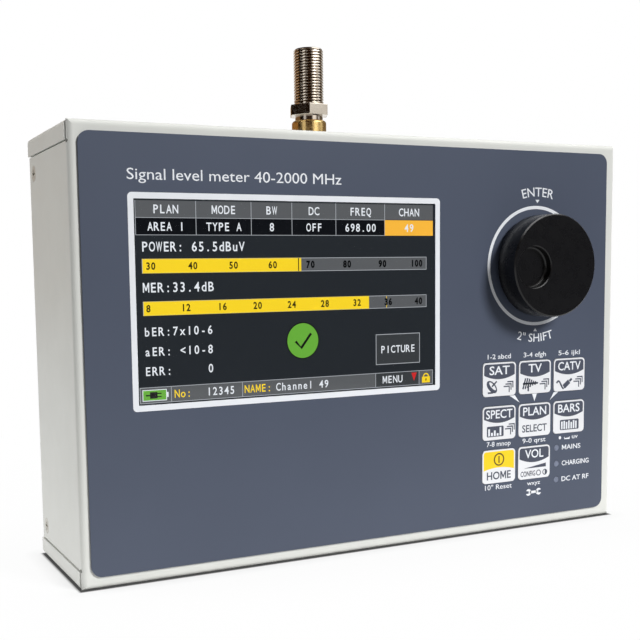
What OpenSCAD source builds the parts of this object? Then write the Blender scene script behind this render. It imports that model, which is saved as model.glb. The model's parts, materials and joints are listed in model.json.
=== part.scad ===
// Portable signal level meter: a folded sheet-metal case with a flush colour screen,
// a push-and-turn tuning knob, eight sprung keys and a threaded coaxial input on the roof.
// Millimetres. The origin is the middle of the case's underside, the front faces -Y, +Z is up.

/* [Case] */
// Width of the case across its side strips
case_w = 191.5; // [184:0.5:200]
// Height of the case
case_h = 128.6; // [126:0.2:140]
// Depth of the case from the front panel to the rear cover
case_d = 45.5; // [45:0.5:60]
// Thickness of the folded sheet
sheet_t = 1.5; // [1.2:0.1:1.8]
// Outer radius of the folds
fold_r = 1.6; // [1.6:0.1:3]
// Radius of the rear edges of the roof and floor
rear_edge_r = 1.2; // [0.5:0.1:1.2]
// How far the side strips stand proud of the side walls
strip_proud = 0.4; // [0.2:0.1:0.8]
// Height of the strip below the roof
strip_top_h = 5.5; // [4:0.5:7]
// Height of the strip above the floor
strip_bottom_h = 5.2; // [4:0.2:7]
// Width of the open seams round the strips
seam_w = 0.35; // [0.2:0.05:0.6]
// Diameter of the relief hole at each seam's corner
relief_d = 1.1; // [0.8:0.1:1.6]

/* [Overlay] */
// Width of the printed front film
overlay_w = 184; // [180:0.5:186]
// Height of the printed front film
overlay_h = 122; // [118:0.2:123]
// Thickness of the printed front film
overlay_t = 0.6; // [0.4:0.1:0.9]
// Corner radius of the printed front film
overlay_r = 3.2; // [2:0.2:8]
// Height of the film's lower edge above the underside
overlay_rise = 3.5; // [3:0.1:4.4]
// Distance of the film's middle from the case's middle, to the left
overlay_left = 0.75; // [0:0.05:1.5]

/* [Screen] */
// Width of the clear window over the screen
window_w = 98.6; // [92:0.2:101]
// Height of the clear window over the screen
window_h = 56.9; // [52:0.2:59]
// Distance of the window's middle from the case's middle, to the left
window_left = 28.35; // [24:0.05:30]
// Distance of the window's middle from the case's top
window_from_top = 49.4; // [47:0.2:52]
// Margin of the screen's glass round the window
glass_margin = 2.6; // [1.5:0.1:3]
// Margin of the screen's frame round its glass
screen_frame_margin = 2.2; // [1.6:0.1:3]
// Thickness of the screen's frame
screen_frame_t = 3.2; // [2.5:0.1:4]
// Thickness of the foam gasket behind the front panel
gasket_t = 0.5; // [0.3:0.1:1]
// Thickness of the screen's bracket
bracket_t = 1; // [0.8:0.1:1.5]
// Width of the bracket's rails
bracket_rail = 8; // [6:0.5:12]
// Distance of the bracket's posts from the window's sides
bracket_post_inset = 12; // [10:0.5:16]

/* [Tuning knob] */
// Diameter of the knob
knob_d = 33.2; // [30:0.2:36]
// Height of the knob's face above the film
knob_reach = 9.9; // [8.6:0.1:12]
// Gap between the knob and the film
knob_gap = 1; // [0.8:0.1:1.5]
// Diameter of the finger dimple
dimple_d = 13.3; // [11:0.1:14]
// Depth of the finger dimple
dimple_depth = 2.6; // [1.5:0.1:2.8]
// Distance of the dimple's middle from the knob's axis
dimple_offset = 8.6; // [7.6:0.1:8.8]
// Angle of the dimple below the knob's left side
dimple_turn = 3; // [0:1:359]
// Distance of the knob's axis from the case's right side
knob_from_right = 34.7; // [29:0.1:36.5]
// Distance of the knob's axis from the case's top
knob_from_top = 40.6; // [36.4:0.1:42.4]
// How far the knob presses in
knob_travel = 0.5; // [0.3:0.1:0.6]
// Diameter of the encoder's shaft
shaft_d = 6; // [5:0.1:6.3]
// Diameter of the encoder's threaded bush
bush_d = 7; // [6.8:0.1:8]
// Width of the encoder's body
encoder_w = 13; // [11:0.5:15]
// Depth of the encoder's body behind the panel
encoder_depth = 6.5; // [5.5:0.5:9]
// Width across the flats of the encoder's nut
encoder_nut_af = 10; // [9:0.5:12]
// Thickness of the encoder's nut
encoder_nut_t = 1.8; // [1.5:0.1:2]
// Diameter of the encoder's washer
encoder_washer_d = 12; // [10.5:0.5:13]
// Thickness of the encoder's washer
encoder_washer_t = 0.5; // [0.3:0.1:0.6]

/* [Keys] */
// Width of a key
key_w = 13.4; // [11:0.1:13.8]
// Height of a key
key_h = 11.1; // [10:0.1:12.4]
// Corner radius of a key
key_r = 1.3; // [0.8:0.1:2]
// Spacing of the key columns
key_pitch_x = 14.75; // [14.5:0.05:16]
// Spacing of the key rows
key_pitch_z = 14.5; // [13:0.1:15.5]
// Distance of the lowest row's middle from the film's lower edge
key_row_rise = 18.5; // [17.5:0.1:21]
// How far a key stands proud of the film
key_proud = 0.2; // [0.1:0.05:0.4]
// How far a key presses in
key_travel = 0.3; // [0.2:0.05:0.35]
// Diameter of the post behind a key
key_post_d = 5; // [4:0.1:5.4]
// Width of a key's switch
switch_w = 6; // [5:0.2:7]
// Height of a key's switch without its plunger
switch_h = 3.5; // [3:0.1:5]
// Diameter of a switch's plunger
plunger_d = 3.5; // [2.5:0.1:4]
// How far a switch's plunger stands out
plunger_reach = 0.8; // [0.6:0.1:1.2]

/* [Lamps] */
// Diameter of a status lamp's lens
lamp_d = 2.9; // [2.4:0.1:3.2]
// Diameter of a status lamp's tip
lamp_tip_d = 2; // [1.6:0.1:2.2]
// Spacing of the status lamps
lamp_pitch = 5.5; // [5:0.1:6.5]
// Distance of the lamps from the case's right side
lamp_from_right = 24.9; // [24.1:0.1:25.5]
// Distance of the lowest lamp from the film's lower edge
lamp_rise = 11.5; // [10:0.1:13]

/* [Coaxial input] */
// Distance of the input from the case's middle, to the left
input_left = 9.6; // [0:0.1:20]
// Distance of the input behind the case's middle
input_back = 2.8; // [0:0.1:5]
// Diameter of the input's thread
thread_d = 9.4; // [8.8:0.1:10]
// Length of the input's thread
thread_len = 17.6; // [12:0.1:20]
// Pitch of the input's thread
thread_pitch = 0.9; // [0.75:0.05:1]
// Depth of the input's thread
thread_depth = 0.45; // [0.3:0.05:0.5]
// Width across the flats of the adapter's hexagon
hex_af = 11.6; // [11:0.1:13]
// Angle of the adapter's hexagon round its axis
hex_turn = 5; // [0:1:59]
// Thickness of the adapter's hexagon
hex_t = 3.3; // [2.5:0.1:5]
// Height of the adapter's neck below its hexagon
neck_h = 1.5; // [0.8:0.1:2]
// Diameter of the adapter's neck
neck_d = 8.8; // [8.2:0.1:10]
// Diameter of the gilt collar on the roof
collar_d = 11; // [10.6:0.1:13]
// Height of the gilt collar on the roof
collar_h = 6.7; // [5:0.1:9]
// Width across the flats of the nut below the roof
roof_nut_af = 14; // [13:0.5:16]
// Thickness of the nut below the roof
roof_nut_t = 3; // [2:0.1:4]
// Diameter of the input's insulator
insulator_d = 5.4; // [4.6:0.1:5.6]
// Diameter of the input's contact
contact_d = 2; // [1.5:0.1:2.2]

/* [Boards] */
// Thickness of the circuit boards
board_t = 1.6; // [1:0.1:2]
// Gap between the main board's edge and the case's inside
board_margin = 3.6; // [2:0.2:5]
// Distance of the main board from the front panel
board_stand = 13; // [12:0.5:14.5]
// Diameter of the boards' posts
post_d = 5; // [4:0.1:6]
// Distance of a post's axis from a board's edge
post_inset = 3.5; // [3:0.1:4]
// Width of the tuner's can
tuner_w = 44; // [36:1:52]
// Depth of the tuner's can behind the main board
tuner_depth = 17; // [15:0.5:18]
// Height of the tuner's can
tuner_h = 32; // [24:1:40]
// Width of the processor's shield
shield_w = 36; // [28:1:40]
// Depth of the processor's shield
shield_depth = 5; // [3:0.5:8]
// Width of the screen's ribbon
ribbon_w = 28; // [20:1:34]
// Thickness of the screen's ribbon
ribbon_t = 0.3; // [0.2:0.05:0.5]

/* [Battery and speaker] */
// Diameter of a battery cell
cell_d = 18.6; // [17:0.1:19]
// Length of a battery cell
cell_len = 66; // [60:1:68]
// Number of battery cells
cell_count = 3; // [2:1:3]
// Distance of the battery's middle from the case's left side
battery_from_left = 47.5; // [44:0.5:52]
// Distance of the battery from the floor
battery_rise = 12; // [10:0.5:20]
// Width of the battery's strap
strap_w = 18; // [12:1:24]
// Thickness of the battery's strap
strap_t = 1; // [0.8:0.1:1.5]
// Diameter of the speaker
speaker_d = 40; // [30:1:44]
// Depth of the speaker
speaker_depth = 9; // [7:0.5:12]
// Distance of the speaker's axis from the case's right side
speaker_from_right = 47.5; // [40:0.5:55]
// Height of the speaker's axis above the underside
speaker_rise = 77.2; // [70:0.2:90]
// Diameter of a hole in the speaker's grille
grille_hole_d = 2.2; // [1.6:0.1:2.6]
// Spacing of the holes in the speaker's grille
grille_pitch = 4.2; // [3.6:0.1:5]

/* [Side sockets] */
// Width of the power socket's body
power_w = 9; // [8.6:0.2:11]
// Depth of the power socket's body behind the main board
power_depth = 11; // [9:0.5:13]
// Length of the power socket's body
power_len = 14; // [12:0.5:16]
// Diameter of the power socket's bore
power_bore_d = 6.4; // [5.6:0.1:6.6]
// Diameter of the power socket's centre pin
power_pin_d = 2; // [1.6:0.1:2.5]
// How far the centre pin's tip lies behind the power socket's mouth
power_pin_drop = 2.8; // [2.6:0.1:4]
// Height of the power socket's axis above the underside
power_rise = 44; // [36:0.5:50]
// Width of the data socket's shell
data_w = 8; // [7:0.1:9]
// Depth of the data socket's shell
data_depth = 4; // [3.6:0.1:4.4]
// Length of the data socket's shell
data_len = 9; // [8:0.5:10]
// Height of the data socket's axis above the underside
data_rise = 64; // [58:0.5:70]

/* [Fasteners] */
// Diameter of the case screws
case_screw_d = 2.5; // [2:0.1:3]
// Diameter of the case screws' heads
case_head_d = 4.7; // [4.4:0.1:5.6]
// Length of the case screws
case_screw_len = 6.5; // [6:0.1:8]
// Distance of the case screws from the rear edge
case_screw_inset = 4.9; // [4.4:0.1:6]
// Distance of the case screws from the roof
case_screw_drop = 10.9; // [10.8:0.1:16]
// Distance of the case screws from the underside
case_screw_rise = 9.9; // [9.5:0.1:16]
// Diameter of the clinch nuts
clinch_d = 5.2; // [4.6:0.1:6]
// Thickness of the clinch nuts
clinch_t = 2.4; // [2:0.1:3]
// Diameter of the board screws
board_screw_d = 2.5; // [2:0.1:3]
// Diameter of the board screws' heads
board_head_d = 4.6; // [4.2:0.1:5.4]
// Thickness of the board screws' heads
board_head_t = 1.6; // [1.2:0.1:2]

/* [Clearances] */
// Running clearance of the shaft in its bush, at the radius
run_clear = 0.05; // [0.02:0.01:0.1]
// Clearance of a fixed round fit, at the radius
fit_clear = 0.1; // [0.05:0.01:0.15]
// Clearance round a part that moves in a hole, at the radius
move_clear = 0.3; // [0.2:0.05:0.4]
// Gap between the rear cover and the walls round it
cover_gap = 0.2; // [0.1:0.05:0.4]
// Gap between a key and the film round it
key_gap = 0.15; // [0.1:0.05:0.25]

/* [Hidden] */
KEY_NAMES = ["top_left", "top_middle", "top_right", "middle_left", "centre", "middle_right", "power",
             "volume"];
$fn = 64;
arc_steps = 8;
cut = 1;
square_r = 0.1;

// Planes of the case, from the front to the rear
front_y = -case_d / 2;
rear_y = case_d / 2;
panel_back = front_y + sheet_t;
rear_in = rear_y - sheet_t;
film_front = front_y - overlay_t;
seam_y = front_y + fold_r;
wall_out = case_w / 2 - strip_proud;
wall_in = wall_out - sheet_t;
wall_top = case_h - strip_top_h;
roof_in = case_h - sheet_t;

// Screen stack
window_x = -window_left;
window_z = case_h - window_from_top;
glass_w = window_w + 2 * glass_margin;
glass_h = window_h + 2 * glass_margin;
screen_frame_w = glass_w + 2 * screen_frame_margin;
screen_frame_h = glass_h + 2 * screen_frame_margin;
screen_frame_y = panel_back + gasket_t;
bracket_y = screen_frame_y + screen_frame_t;
bracket_post_x = window_w / 2 - bracket_post_inset;
bracket_post_z = screen_frame_h / 2 + post_d / 2 + fit_clear;
ear_margin = 1;
ear_w = post_d + 2 * ear_margin;
screen_pocket = 1;

// Knob stack
knob_x = case_w / 2 - knob_from_right;
knob_z = case_h - knob_from_top;
knob_face = film_front - knob_reach;
knob_back = film_front - knob_gap;
encoder_nut_y = front_y - encoder_washer_t - encoder_nut_t;
bush_proud = 0.6;
bush_front = encoder_nut_y - bush_proud;
hub_back = bush_front - knob_travel - move_clear;
knob_floor_t = 0.8;
shaft_front = knob_face + dimple_depth + knob_floor_t;
encoder_floor_t = 0.4;
encoder_plunger_len = 1.4;
plunger_back = panel_back + encoder_depth - encoder_floor_t - knob_travel - move_clear;
shaft_back = plunger_back - encoder_plunger_len;
nut_room = 4;
knob_pocket_d = encoder_nut_af / cos(30) + nut_room;
set_screw_d = 2;
set_screw_len = 8;
set_screw_y = (hub_back + shaft_front) / 2;
knob_edge = 0.5;

// Key stack
key_columns = [-1, 0, 1];
key_front = film_front - key_proud;
key_stop_gap = 0.05;
key_back = front_y - key_travel - key_stop_gap;
plunger_drop = 0.3;
plunger_top = panel_back + plunger_drop;
switch_top = plunger_top + plunger_reach;
keypad_y = switch_top + switch_h;
key_hole_room = 0.8;
key_hole_d = key_post_d + 2 * key_hole_room;
key_post_root = 0.15;
plunger_root = 1.4;

// Keypad board, from its outer keys and lamps
keypad_margin_left = 5.2;
keypad_margin_right = 1.6;
keypad_margin_top = 10;
keypad_margin_bottom = 7;
keypad_left = knob_x - key_pitch_x - switch_w / 2 - keypad_margin_left;
keypad_right = knob_x + key_pitch_x + switch_w / 2 + keypad_margin_right;
keypad_top = key_z(0) + switch_w / 2 + keypad_margin_top;
keypad_bottom = overlay_rise + lamp_rise - keypad_margin_bottom;
lamp_x = case_w / 2 - lamp_from_right;

// Main board and what stands on it
main_y = panel_back + board_stand;
main_back = main_y + board_t;
main_w = 2 * (wall_in - board_margin);
main_bottom = sheet_t + board_margin;
main_top = roof_in - board_margin - roof_nut_t;
main_h = main_top - main_bottom;
main_z = (main_top + main_bottom) / 2;

// Coaxial input on the roof
input_x = -input_left;
input_y = input_back;
neck_z = case_h + collar_h;
hex_z = neck_z + neck_h;
thread_z = hex_z + hex_t;
input_top = thread_z + thread_len;
adapter_shank_d = 8;
adapter_shank_len = 4;
shank_d = 8.4;
shank_proud = 3;
shank_bottom = roof_in - roof_nut_t - shank_proud;
collar_edge_r = 1;
thread_chamfer = 0.4;
insulator_drop = 1;
contact_drop = 1.4;
insulator_floor_t = 1;
tuner_top = shank_bottom - fit_clear;

// Battery and speaker on the rear cover
cell_overlap = 0.6;
cell_pitch = cell_d - cell_overlap;
battery_h = cell_d + (cell_count - 1) * cell_pitch;
battery_x = -case_w / 2 + battery_from_left;
strap_foot = 8;
battery_z = sheet_t + battery_rise + battery_h / 2;
battery_front = rear_in - cell_d;
speaker_x = case_w / 2 - speaker_from_right;
speaker_z = speaker_rise;
speaker_flange_t = 2;
speaker_rim = 3;
speaker_dish = 1;

// Side sockets on the main board
power_y = main_back + power_depth / 2;
power_floor_t = 3;
power_hole_room = 1;
data_shell_t = 0.5;

// Case screws and the tabs that they hold
case_screw_y = rear_y - case_screw_inset;
case_screw_zs = [case_screw_rise, case_h - case_screw_drop];
tab_out = wall_in - cover_gap;
tab_in = tab_out - sheet_t;
tab_half = 4.5;
tab_reach = case_screw_inset + tab_half;
head_depth = (case_head_d - case_screw_d) / 2;
screw_end_gap = 0.4;
board_screw_grip = 5;

// Colours as the photograph shows them
case_colour = [0.80, 0.80, 0.77];
film_colour = [0.27, 0.29, 0.35];
dark_colour = [0.05, 0.05, 0.055];
nickel_colour = [0.75, 0.73, 0.70];
gilt_colour = [0.80, 0.64, 0.30];
steel_colour = [0.72, 0.73, 0.75];
board_colour = [0.08, 0.32, 0.16];
white_colour = [0.92, 0.92, 0.90];
yellow_colour = [0.95, 0.78, 0.15];
amber_colour = [0.75, 0.50, 0.20];
wrap_colour = [0.15, 0.25, 0.50];
clear_colour = [0.60, 0.65, 0.70, 0.40];

// Middle of a key, counted from the top row
function key_row(i) = i < 3 ? 0 : i < 6 ? 1 : 2;
function key_column(i) = key_columns[i % 3];
function key_x(i) = knob_x + key_column(i) * key_pitch_x;
function key_z(i) = overlay_rise + key_row_rise + (2 - key_row(i)) * key_pitch_z;
function lamp_z(i) = overlay_rise + lamp_rise + i * lamp_pitch;

// Points of an arc about a centre
function arc(cx, cy, r, start, stop) =
    [for (i = [0:arc_steps])
        let (a = start + (stop - start) * i / arc_steps)
        [cx + r * cos(a), cy + r * sin(a)]];

module rounded_rect(w, h, r) {
    x = w / 2 - r;
    y = h / 2 - r;
    polygon(concat(arc(x, y, r, 0, 90), arc(-x, y, r, 90, 180),
                   arc(-x, -y, r, 180, 270), arc(x, -y, r, 270, 360)));
}

// A plate that faces the front, from y to y + t
module plate(x, y, z, w, h, t, r) {
    translate([x, y + t, z]) rotate([90, 0, 0]) linear_extrude(t) rounded_rect(w, h, r);
}

// A box that faces the front, from y to y + t
module block(x, y, z, w, h, t) {
    translate([x - w / 2, y, z - h / 2]) cube([w, t, h]);
}

// A rod along the depth, from y to y + len
module rod_y(x, y, z, d, len) {
    translate([x, y, z]) rotate([-90, 0, 0]) cylinder(d = d, h = len);
}

// A rod along the width, from x to x + len
module rod_x(x, y, z, d, len) {
    translate([x, y, z]) rotate([0, 90, 0]) cylinder(d = d, h = len);
}

// A nut or bush along the depth with a round hole
module tube_y(x, y, z, d, hole_d, len) {
    difference() {
        rod_y(x, y, z, d, len);
        rod_y(x, y - cut, z, hole_d, len + 2 * cut);
    }
}

// Section through the case across a width of 2 * half: folded at the front, edged at the rear
module case_section(half, rear_r) {
    polygon(concat(
        arc(-half + fold_r, front_y + fold_r, fold_r, 180, 270),
        arc(half - fold_r, front_y + fold_r, fold_r, 270, 360),
        arc(half - rear_r, rear_y - rear_r, rear_r, 0, 90),
        arc(-half + rear_r, rear_y - rear_r, rear_r, 90, 180)));
}

// The case's upright section, drawn out along the width
module upright_section(rear_r) {
    translate([-case_w, 0, case_h / 2]) rotate([90, 0, 90]) linear_extrude(2 * case_w)
        rotate(90) mirror([0, 1]) case_section(case_h / 2, rear_r);
}

// Front panel with its side walls folded back, and the front folds of roof and floor
module folded_core() {
    intersection() {
        linear_extrude(case_h) case_section(wall_out, square_r);
        upright_section(square_r);
    }
}

// Roof and floor with the strips folded from their ends
module roof_and_floor() {
    intersection() {
        translate([0, rear_y, case_h / 2]) rotate([90, 0, 0])
            linear_extrude(rear_y - seam_y) rounded_rect(case_w, case_h, fold_r);
        upright_section(rear_edge_r);
        union() {
            translate([-case_w, -case_d, wall_top]) cube([2 * case_w, 2 * case_d, strip_top_h]);
            translate([-case_w, -case_d, 0]) cube([2 * case_w, 2 * case_d, strip_bottom_h]);
        }
    }
}

// Open seams between a strip, the side wall and the front panel, on one side
module seams(side) {
    x = side > 0 ? wall_in - fit_clear : -case_w / 2 - cut;
    w = case_w / 2 + cut - wall_in + fit_clear;
    y = seam_y - seam_w;
    translate([x, y, wall_top - seam_w]) cube([w, case_d, seam_w]);
    translate([x, y, strip_bottom_h]) cube([w, case_d, seam_w]);
    translate([x, y, wall_top - seam_w]) cube([w, seam_w, strip_top_h + seam_w + cut]);
    translate([x, y, -cut]) cube([w, seam_w, strip_bottom_h + seam_w + cut]);
    rod_x(x, seam_y - seam_w, wall_top - seam_w, relief_d, w);
    rod_x(x, seam_y - seam_w, strip_bottom_h + seam_w, relief_d, w);
}

// A countersunk screw along the width with its head at the wall, or the hole for it
module case_screw(side, z, gap, len) {
    mirror([side > 0 ? 1 : 0, 0, 0]) translate([-wall_out, case_screw_y, z]) rotate([0, 90, 0]) {
        cylinder(d = case_screw_d + 2 * gap, h = len);
        cylinder(d1 = case_head_d + 2 * gap, d2 = case_screw_d + 2 * gap, h = head_depth);
    }
}

module front_housing() {
    color(case_colour) difference() {
        union() {
            intersection() {
                folded_core();
                union() {
                    translate([-case_w, front_y - cut, 0]) cube([2 * case_w, cut + fold_r, case_h]);
                    translate([-case_w, front_y, strip_bottom_h])
                        cube([2 * case_w, case_d, wall_top - strip_bottom_h]);
                }
            }
            roof_and_floor();
        }
        translate([-wall_in, panel_back, sheet_t]) cube([2 * wall_in, case_d, case_h - 2 * sheet_t]);
        seams(1);
        seams(-1);
        block(window_x, front_y - cut, window_z, glass_w + 2 * move_clear, glass_h + 2 * move_clear,
              sheet_t + 2 * cut);
        rod_y(knob_x, front_y - cut, knob_z, bush_d + 2 * fit_clear, sheet_t + 2 * cut);
        for (i = [0:7]) rod_y(key_x(i), front_y - cut, key_z(i), key_hole_d, sheet_t + 2 * cut);
        for (i = [0:2]) rod_y(lamp_x, front_y - cut, lamp_z(i), lamp_d + 2 * fit_clear, sheet_t + 2 * cut);
        translate([input_x, input_y, roof_in - cut])
            cylinder(d = shank_d + 2 * fit_clear, h = sheet_t + 2 * cut);
        for (side = [-1, 1]) for (z = case_screw_zs) case_screw(side, z, fit_clear, sheet_t + cut);
        rod_x(wall_in - cut, power_y, power_rise, power_bore_d + 2 * power_hole_room, sheet_t + 2 * cut);
        translate([wall_in - cut, main_back - move_clear, data_rise - data_w / 2 - move_clear])
            cube([sheet_t + 2 * cut, data_depth + 2 * move_clear, data_w + 2 * move_clear]);
    }
}

module rear_cover() {
    grille_reach = speaker_d / 2 - grille_pitch;
    rows = floor(grille_reach / grille_pitch);
    color(case_colour) difference() {
        union() {
            block(0, rear_in, case_h / 2, 2 * tab_out, case_h - 2 * sheet_t - 2 * cover_gap, sheet_t);
            for (side = [-1, 1]) for (z = case_screw_zs)
                translate([side > 0 ? tab_in : -tab_out, rear_y - tab_reach, z - tab_half])
                    cube([sheet_t, tab_reach, 2 * tab_half]);
        }
        for (side = [-1, 1]) for (z = case_screw_zs)
            rod_x(side > 0 ? tab_in - cut : -tab_out - cut, case_screw_y, z, case_screw_d + 2 * fit_clear,
                  sheet_t + 2 * cut);
        for (i = [-rows:rows]) for (j = [-rows:rows])
            if (norm([i, j]) * grille_pitch <= grille_reach)
                rod_y(speaker_x + i * grille_pitch, rear_in - cut, speaker_z + j * grille_pitch,
                      grille_hole_d, sheet_t + 2 * cut);
    }
}

module case_screws() {
    color(steel_colour) for (side = [-1, 1]) for (z = case_screw_zs) difference() {
        case_screw(side, z, 0, case_screw_len);
        cross_slot(side, z);
    }
}

// Cross slot in a case screw's head
module cross_slot(side, z) {
    slot_l = case_head_d * 0.55;
    slot_w = case_head_d * 0.14;
    depth = head_depth * 0.6;
    x = side * (wall_out - depth / 2 + cut / 2);
    translate([x, case_screw_y, z]) {
        cube([depth + cut, slot_l, slot_w], center = true);
        cube([depth + cut, slot_w, slot_l], center = true);
    }
}

module clinch_nuts() {
    color(steel_colour) for (side = [-1, 1]) for (z = case_screw_zs) difference() {
        rod_x(side > 0 ? tab_in - clinch_t : -tab_in, case_screw_y, z, clinch_d, clinch_t);
        rod_x(side > 0 ? tab_in - clinch_t - cut : -tab_in - cut, case_screw_y, z,
              case_screw_d + 2 * run_clear, clinch_t + 2 * cut);
    }
}

module front_overlay() {
    color(film_colour) difference() {
        plate(-overlay_left, film_front, overlay_rise + overlay_h / 2, overlay_w, overlay_h, overlay_t,
              overlay_r);
        block(window_x, film_front - cut, window_z, window_w + 2 * fit_clear, window_h + 2 * fit_clear,
              overlay_t + 2 * cut);
        rod_y(knob_x, film_front - cut, knob_z, encoder_washer_d + 2 * move_clear, overlay_t + 2 * cut);
        for (i = [0:7])
            plate(key_x(i), film_front - cut, key_z(i), key_w + 2 * key_gap, key_h + 2 * key_gap,
                  overlay_t + 2 * cut, key_r + key_gap);
        for (i = [0:2])
            rod_y(lamp_x, film_front - cut, lamp_z(i), lamp_tip_d + 2 * fit_clear, overlay_t + 2 * cut);
    }
}

module screen_window() {
    color(clear_colour) block(window_x, film_front, window_z, window_w, window_h, overlay_t);
}

module screen_glass() {
    front = front_y + fit_clear;
    color(dark_colour) block(window_x, front, window_z, glass_w, glass_h, screen_frame_y - front);
}

module screen_frame() {
    color(steel_colour) difference() {
        block(window_x, screen_frame_y, window_z, screen_frame_w, screen_frame_h, screen_frame_t);
        block(window_x, bracket_y - screen_pocket, window_z, window_w, window_h, screen_pocket + cut);
    }
}

module screen_gasket() {
    color(dark_colour) difference() {
        block(window_x, panel_back, window_z, screen_frame_w, screen_frame_h, gasket_t);
        block(window_x, panel_back - cut, window_z, glass_w + 2 * move_clear, glass_h + 2 * move_clear,
              gasket_t + 2 * cut);
    }
}

// The four places where the screen's bracket is screwed down
module at_screen_posts() {
    for (sx = [-1, 1]) for (sz = [-1, 1])
        translate([window_x + sx * bracket_post_x, 0, window_z + sz * bracket_post_z]) children();
}

module screen_bracket() {
    color(steel_colour) difference() {
        union() {
            block(window_x, bracket_y, window_z, screen_frame_w, screen_frame_h, bracket_t);
            for (sx = [-1, 1])
                block(window_x + sx * bracket_post_x, bracket_y, window_z, ear_w, 2 * bracket_post_z + ear_w,
                      bracket_t);
        }
        block(window_x, bracket_y - cut, window_z, screen_frame_w - 2 * bracket_rail,
              screen_frame_h - 2 * bracket_rail, bracket_t + 2 * cut);
        at_screen_posts() rod_y(0, bracket_y - cut, 0, board_screw_d + 2 * fit_clear, bracket_t + 2 * cut);
    }
}

module screen_posts() {
    color(steel_colour) at_screen_posts()
        tube_y(0, panel_back, 0, post_d, board_screw_d + 2 * run_clear, bracket_y - panel_back);
}

// A pan-head screw along the depth, driven from behind: its head sits on y
module board_screw(y, len) {
    socket_d = board_head_d * 0.45;
    socket_depth = board_head_t * 0.5;
    difference() {
        union() {
            rod_y(0, y - len, 0, board_screw_d, len + board_head_t / 2);
            rod_y(0, y, 0, board_head_d, board_head_t);
        }
        translate([0, y + board_head_t - socket_depth, 0]) rotate([-90, 0, 0])
            cylinder(d = socket_d, h = socket_depth + cut, $fn = 6);
    }
}

module screen_screws() {
    color(steel_colour) at_screen_posts()
        board_screw(bracket_y + bracket_t, bracket_y + bracket_t - panel_back - screw_end_gap);
}

module screen_ribbon() {
    y = bracket_y - screen_pocket;
    color(amber_colour) block(window_x, y, window_z - window_h / 4, ribbon_w, ribbon_t, main_y - y);
}

module keypad_board() {
    color(board_colour) difference() {
        translate([keypad_left, keypad_y, keypad_bottom])
            cube([keypad_right - keypad_left, board_t, keypad_top - keypad_bottom]);
        at_keypad_posts() rod_y(0, keypad_y - cut, 0, board_screw_d + 2 * fit_clear, board_t + 2 * cut);
    }
}

// The four corners where the keypad board is screwed down
module at_keypad_posts() {
    for (x = [keypad_left + post_inset, keypad_right - post_inset])
        for (z = [keypad_bottom + post_inset, keypad_top - post_inset])
            translate([x, 0, z]) children();
}

module keypad_posts() {
    color(steel_colour) at_keypad_posts()
        tube_y(0, panel_back, 0, post_d, board_screw_d + 2 * run_clear, keypad_y - panel_back);
}

module keypad_screws() {
    color(steel_colour) at_keypad_posts()
        board_screw(keypad_y + board_t, keypad_y + board_t - panel_back - screw_end_gap);
}

module key_switches() {
    color(dark_colour) for (i = [0:7]) difference() {
        block(key_x(i), switch_top, key_z(i), switch_w, switch_w, switch_h);
        rod_y(key_x(i), switch_top - cut, key_z(i), plunger_d + 2 * move_clear,
              cut + plunger_root + key_travel + move_clear);
    }
}

module key_plunger(i) {
    color(white_colour) rod_y(key_x(i), plunger_top, key_z(i), plunger_d, plunger_reach + plunger_root);
}

module key(i) {
    post_front = key_back - key_post_root;
    key_colour = KEY_NAMES[i] == "power" ? yellow_colour : white_colour;
    color(key_colour) {
        plate(key_x(i), key_front, key_z(i), key_w, key_h, key_back - key_front, key_r);
        rod_y(key_x(i), post_front, key_z(i), key_post_d, plunger_top - post_front);
    }
}

module status_lamps() {
    shoulder = front_y + fit_clear;
    color(white_colour) for (i = [0:2]) {
        rod_y(lamp_x, shoulder, lamp_z(i), lamp_d, keypad_y - shoulder);
        rod_y(lamp_x, film_front, lamp_z(i), lamp_tip_d, shoulder - film_front + cut);
    }
}

module encoder_body() {
    color(steel_colour) difference() {
        block(knob_x, panel_back, knob_z, encoder_w, encoder_w, encoder_depth);
        rod_y(knob_x, panel_back - cut, knob_z, shaft_d + 2 * move_clear,
              encoder_depth + cut - encoder_floor_t);
    }
}

module encoder_bush() {
    color(nickel_colour)
        tube_y(knob_x, bush_front, knob_z, bush_d, shaft_d + 2 * run_clear, panel_back - bush_front);
}

module encoder_washer() {
    color(steel_colour)
        tube_y(knob_x, front_y - encoder_washer_t, knob_z, encoder_washer_d, bush_d + 2 * fit_clear,
               encoder_washer_t);
}

module encoder_nut() {
    color(nickel_colour) difference() {
        translate([knob_x, encoder_nut_y, knob_z]) rotate([-90, 0, 0])
            cylinder(d = encoder_nut_af / cos(30), h = encoder_nut_t, $fn = 6);
        rod_y(knob_x, encoder_nut_y - cut, knob_z, bush_d + 2 * run_clear, encoder_nut_t + 2 * cut);
    }
}

module encoder_shaft() {
    color(steel_colour) rod_y(knob_x, shaft_front, knob_z, shaft_d, shaft_back - shaft_front);
}

module encoder_plunger() {
    color(white_colour) rod_y(knob_x, shaft_back, knob_z, shaft_d, plunger_back - shaft_back);
}

// Turned section of the knob: small chamfers on both rims
module knob_section() {
    r = knob_d / 2;
    depth = knob_back - knob_face;
    polygon([[0, 0], [r - knob_edge, 0], [r, knob_edge],
             [r, depth - knob_edge], [r - knob_edge, depth], [0, depth]]);
}

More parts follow.
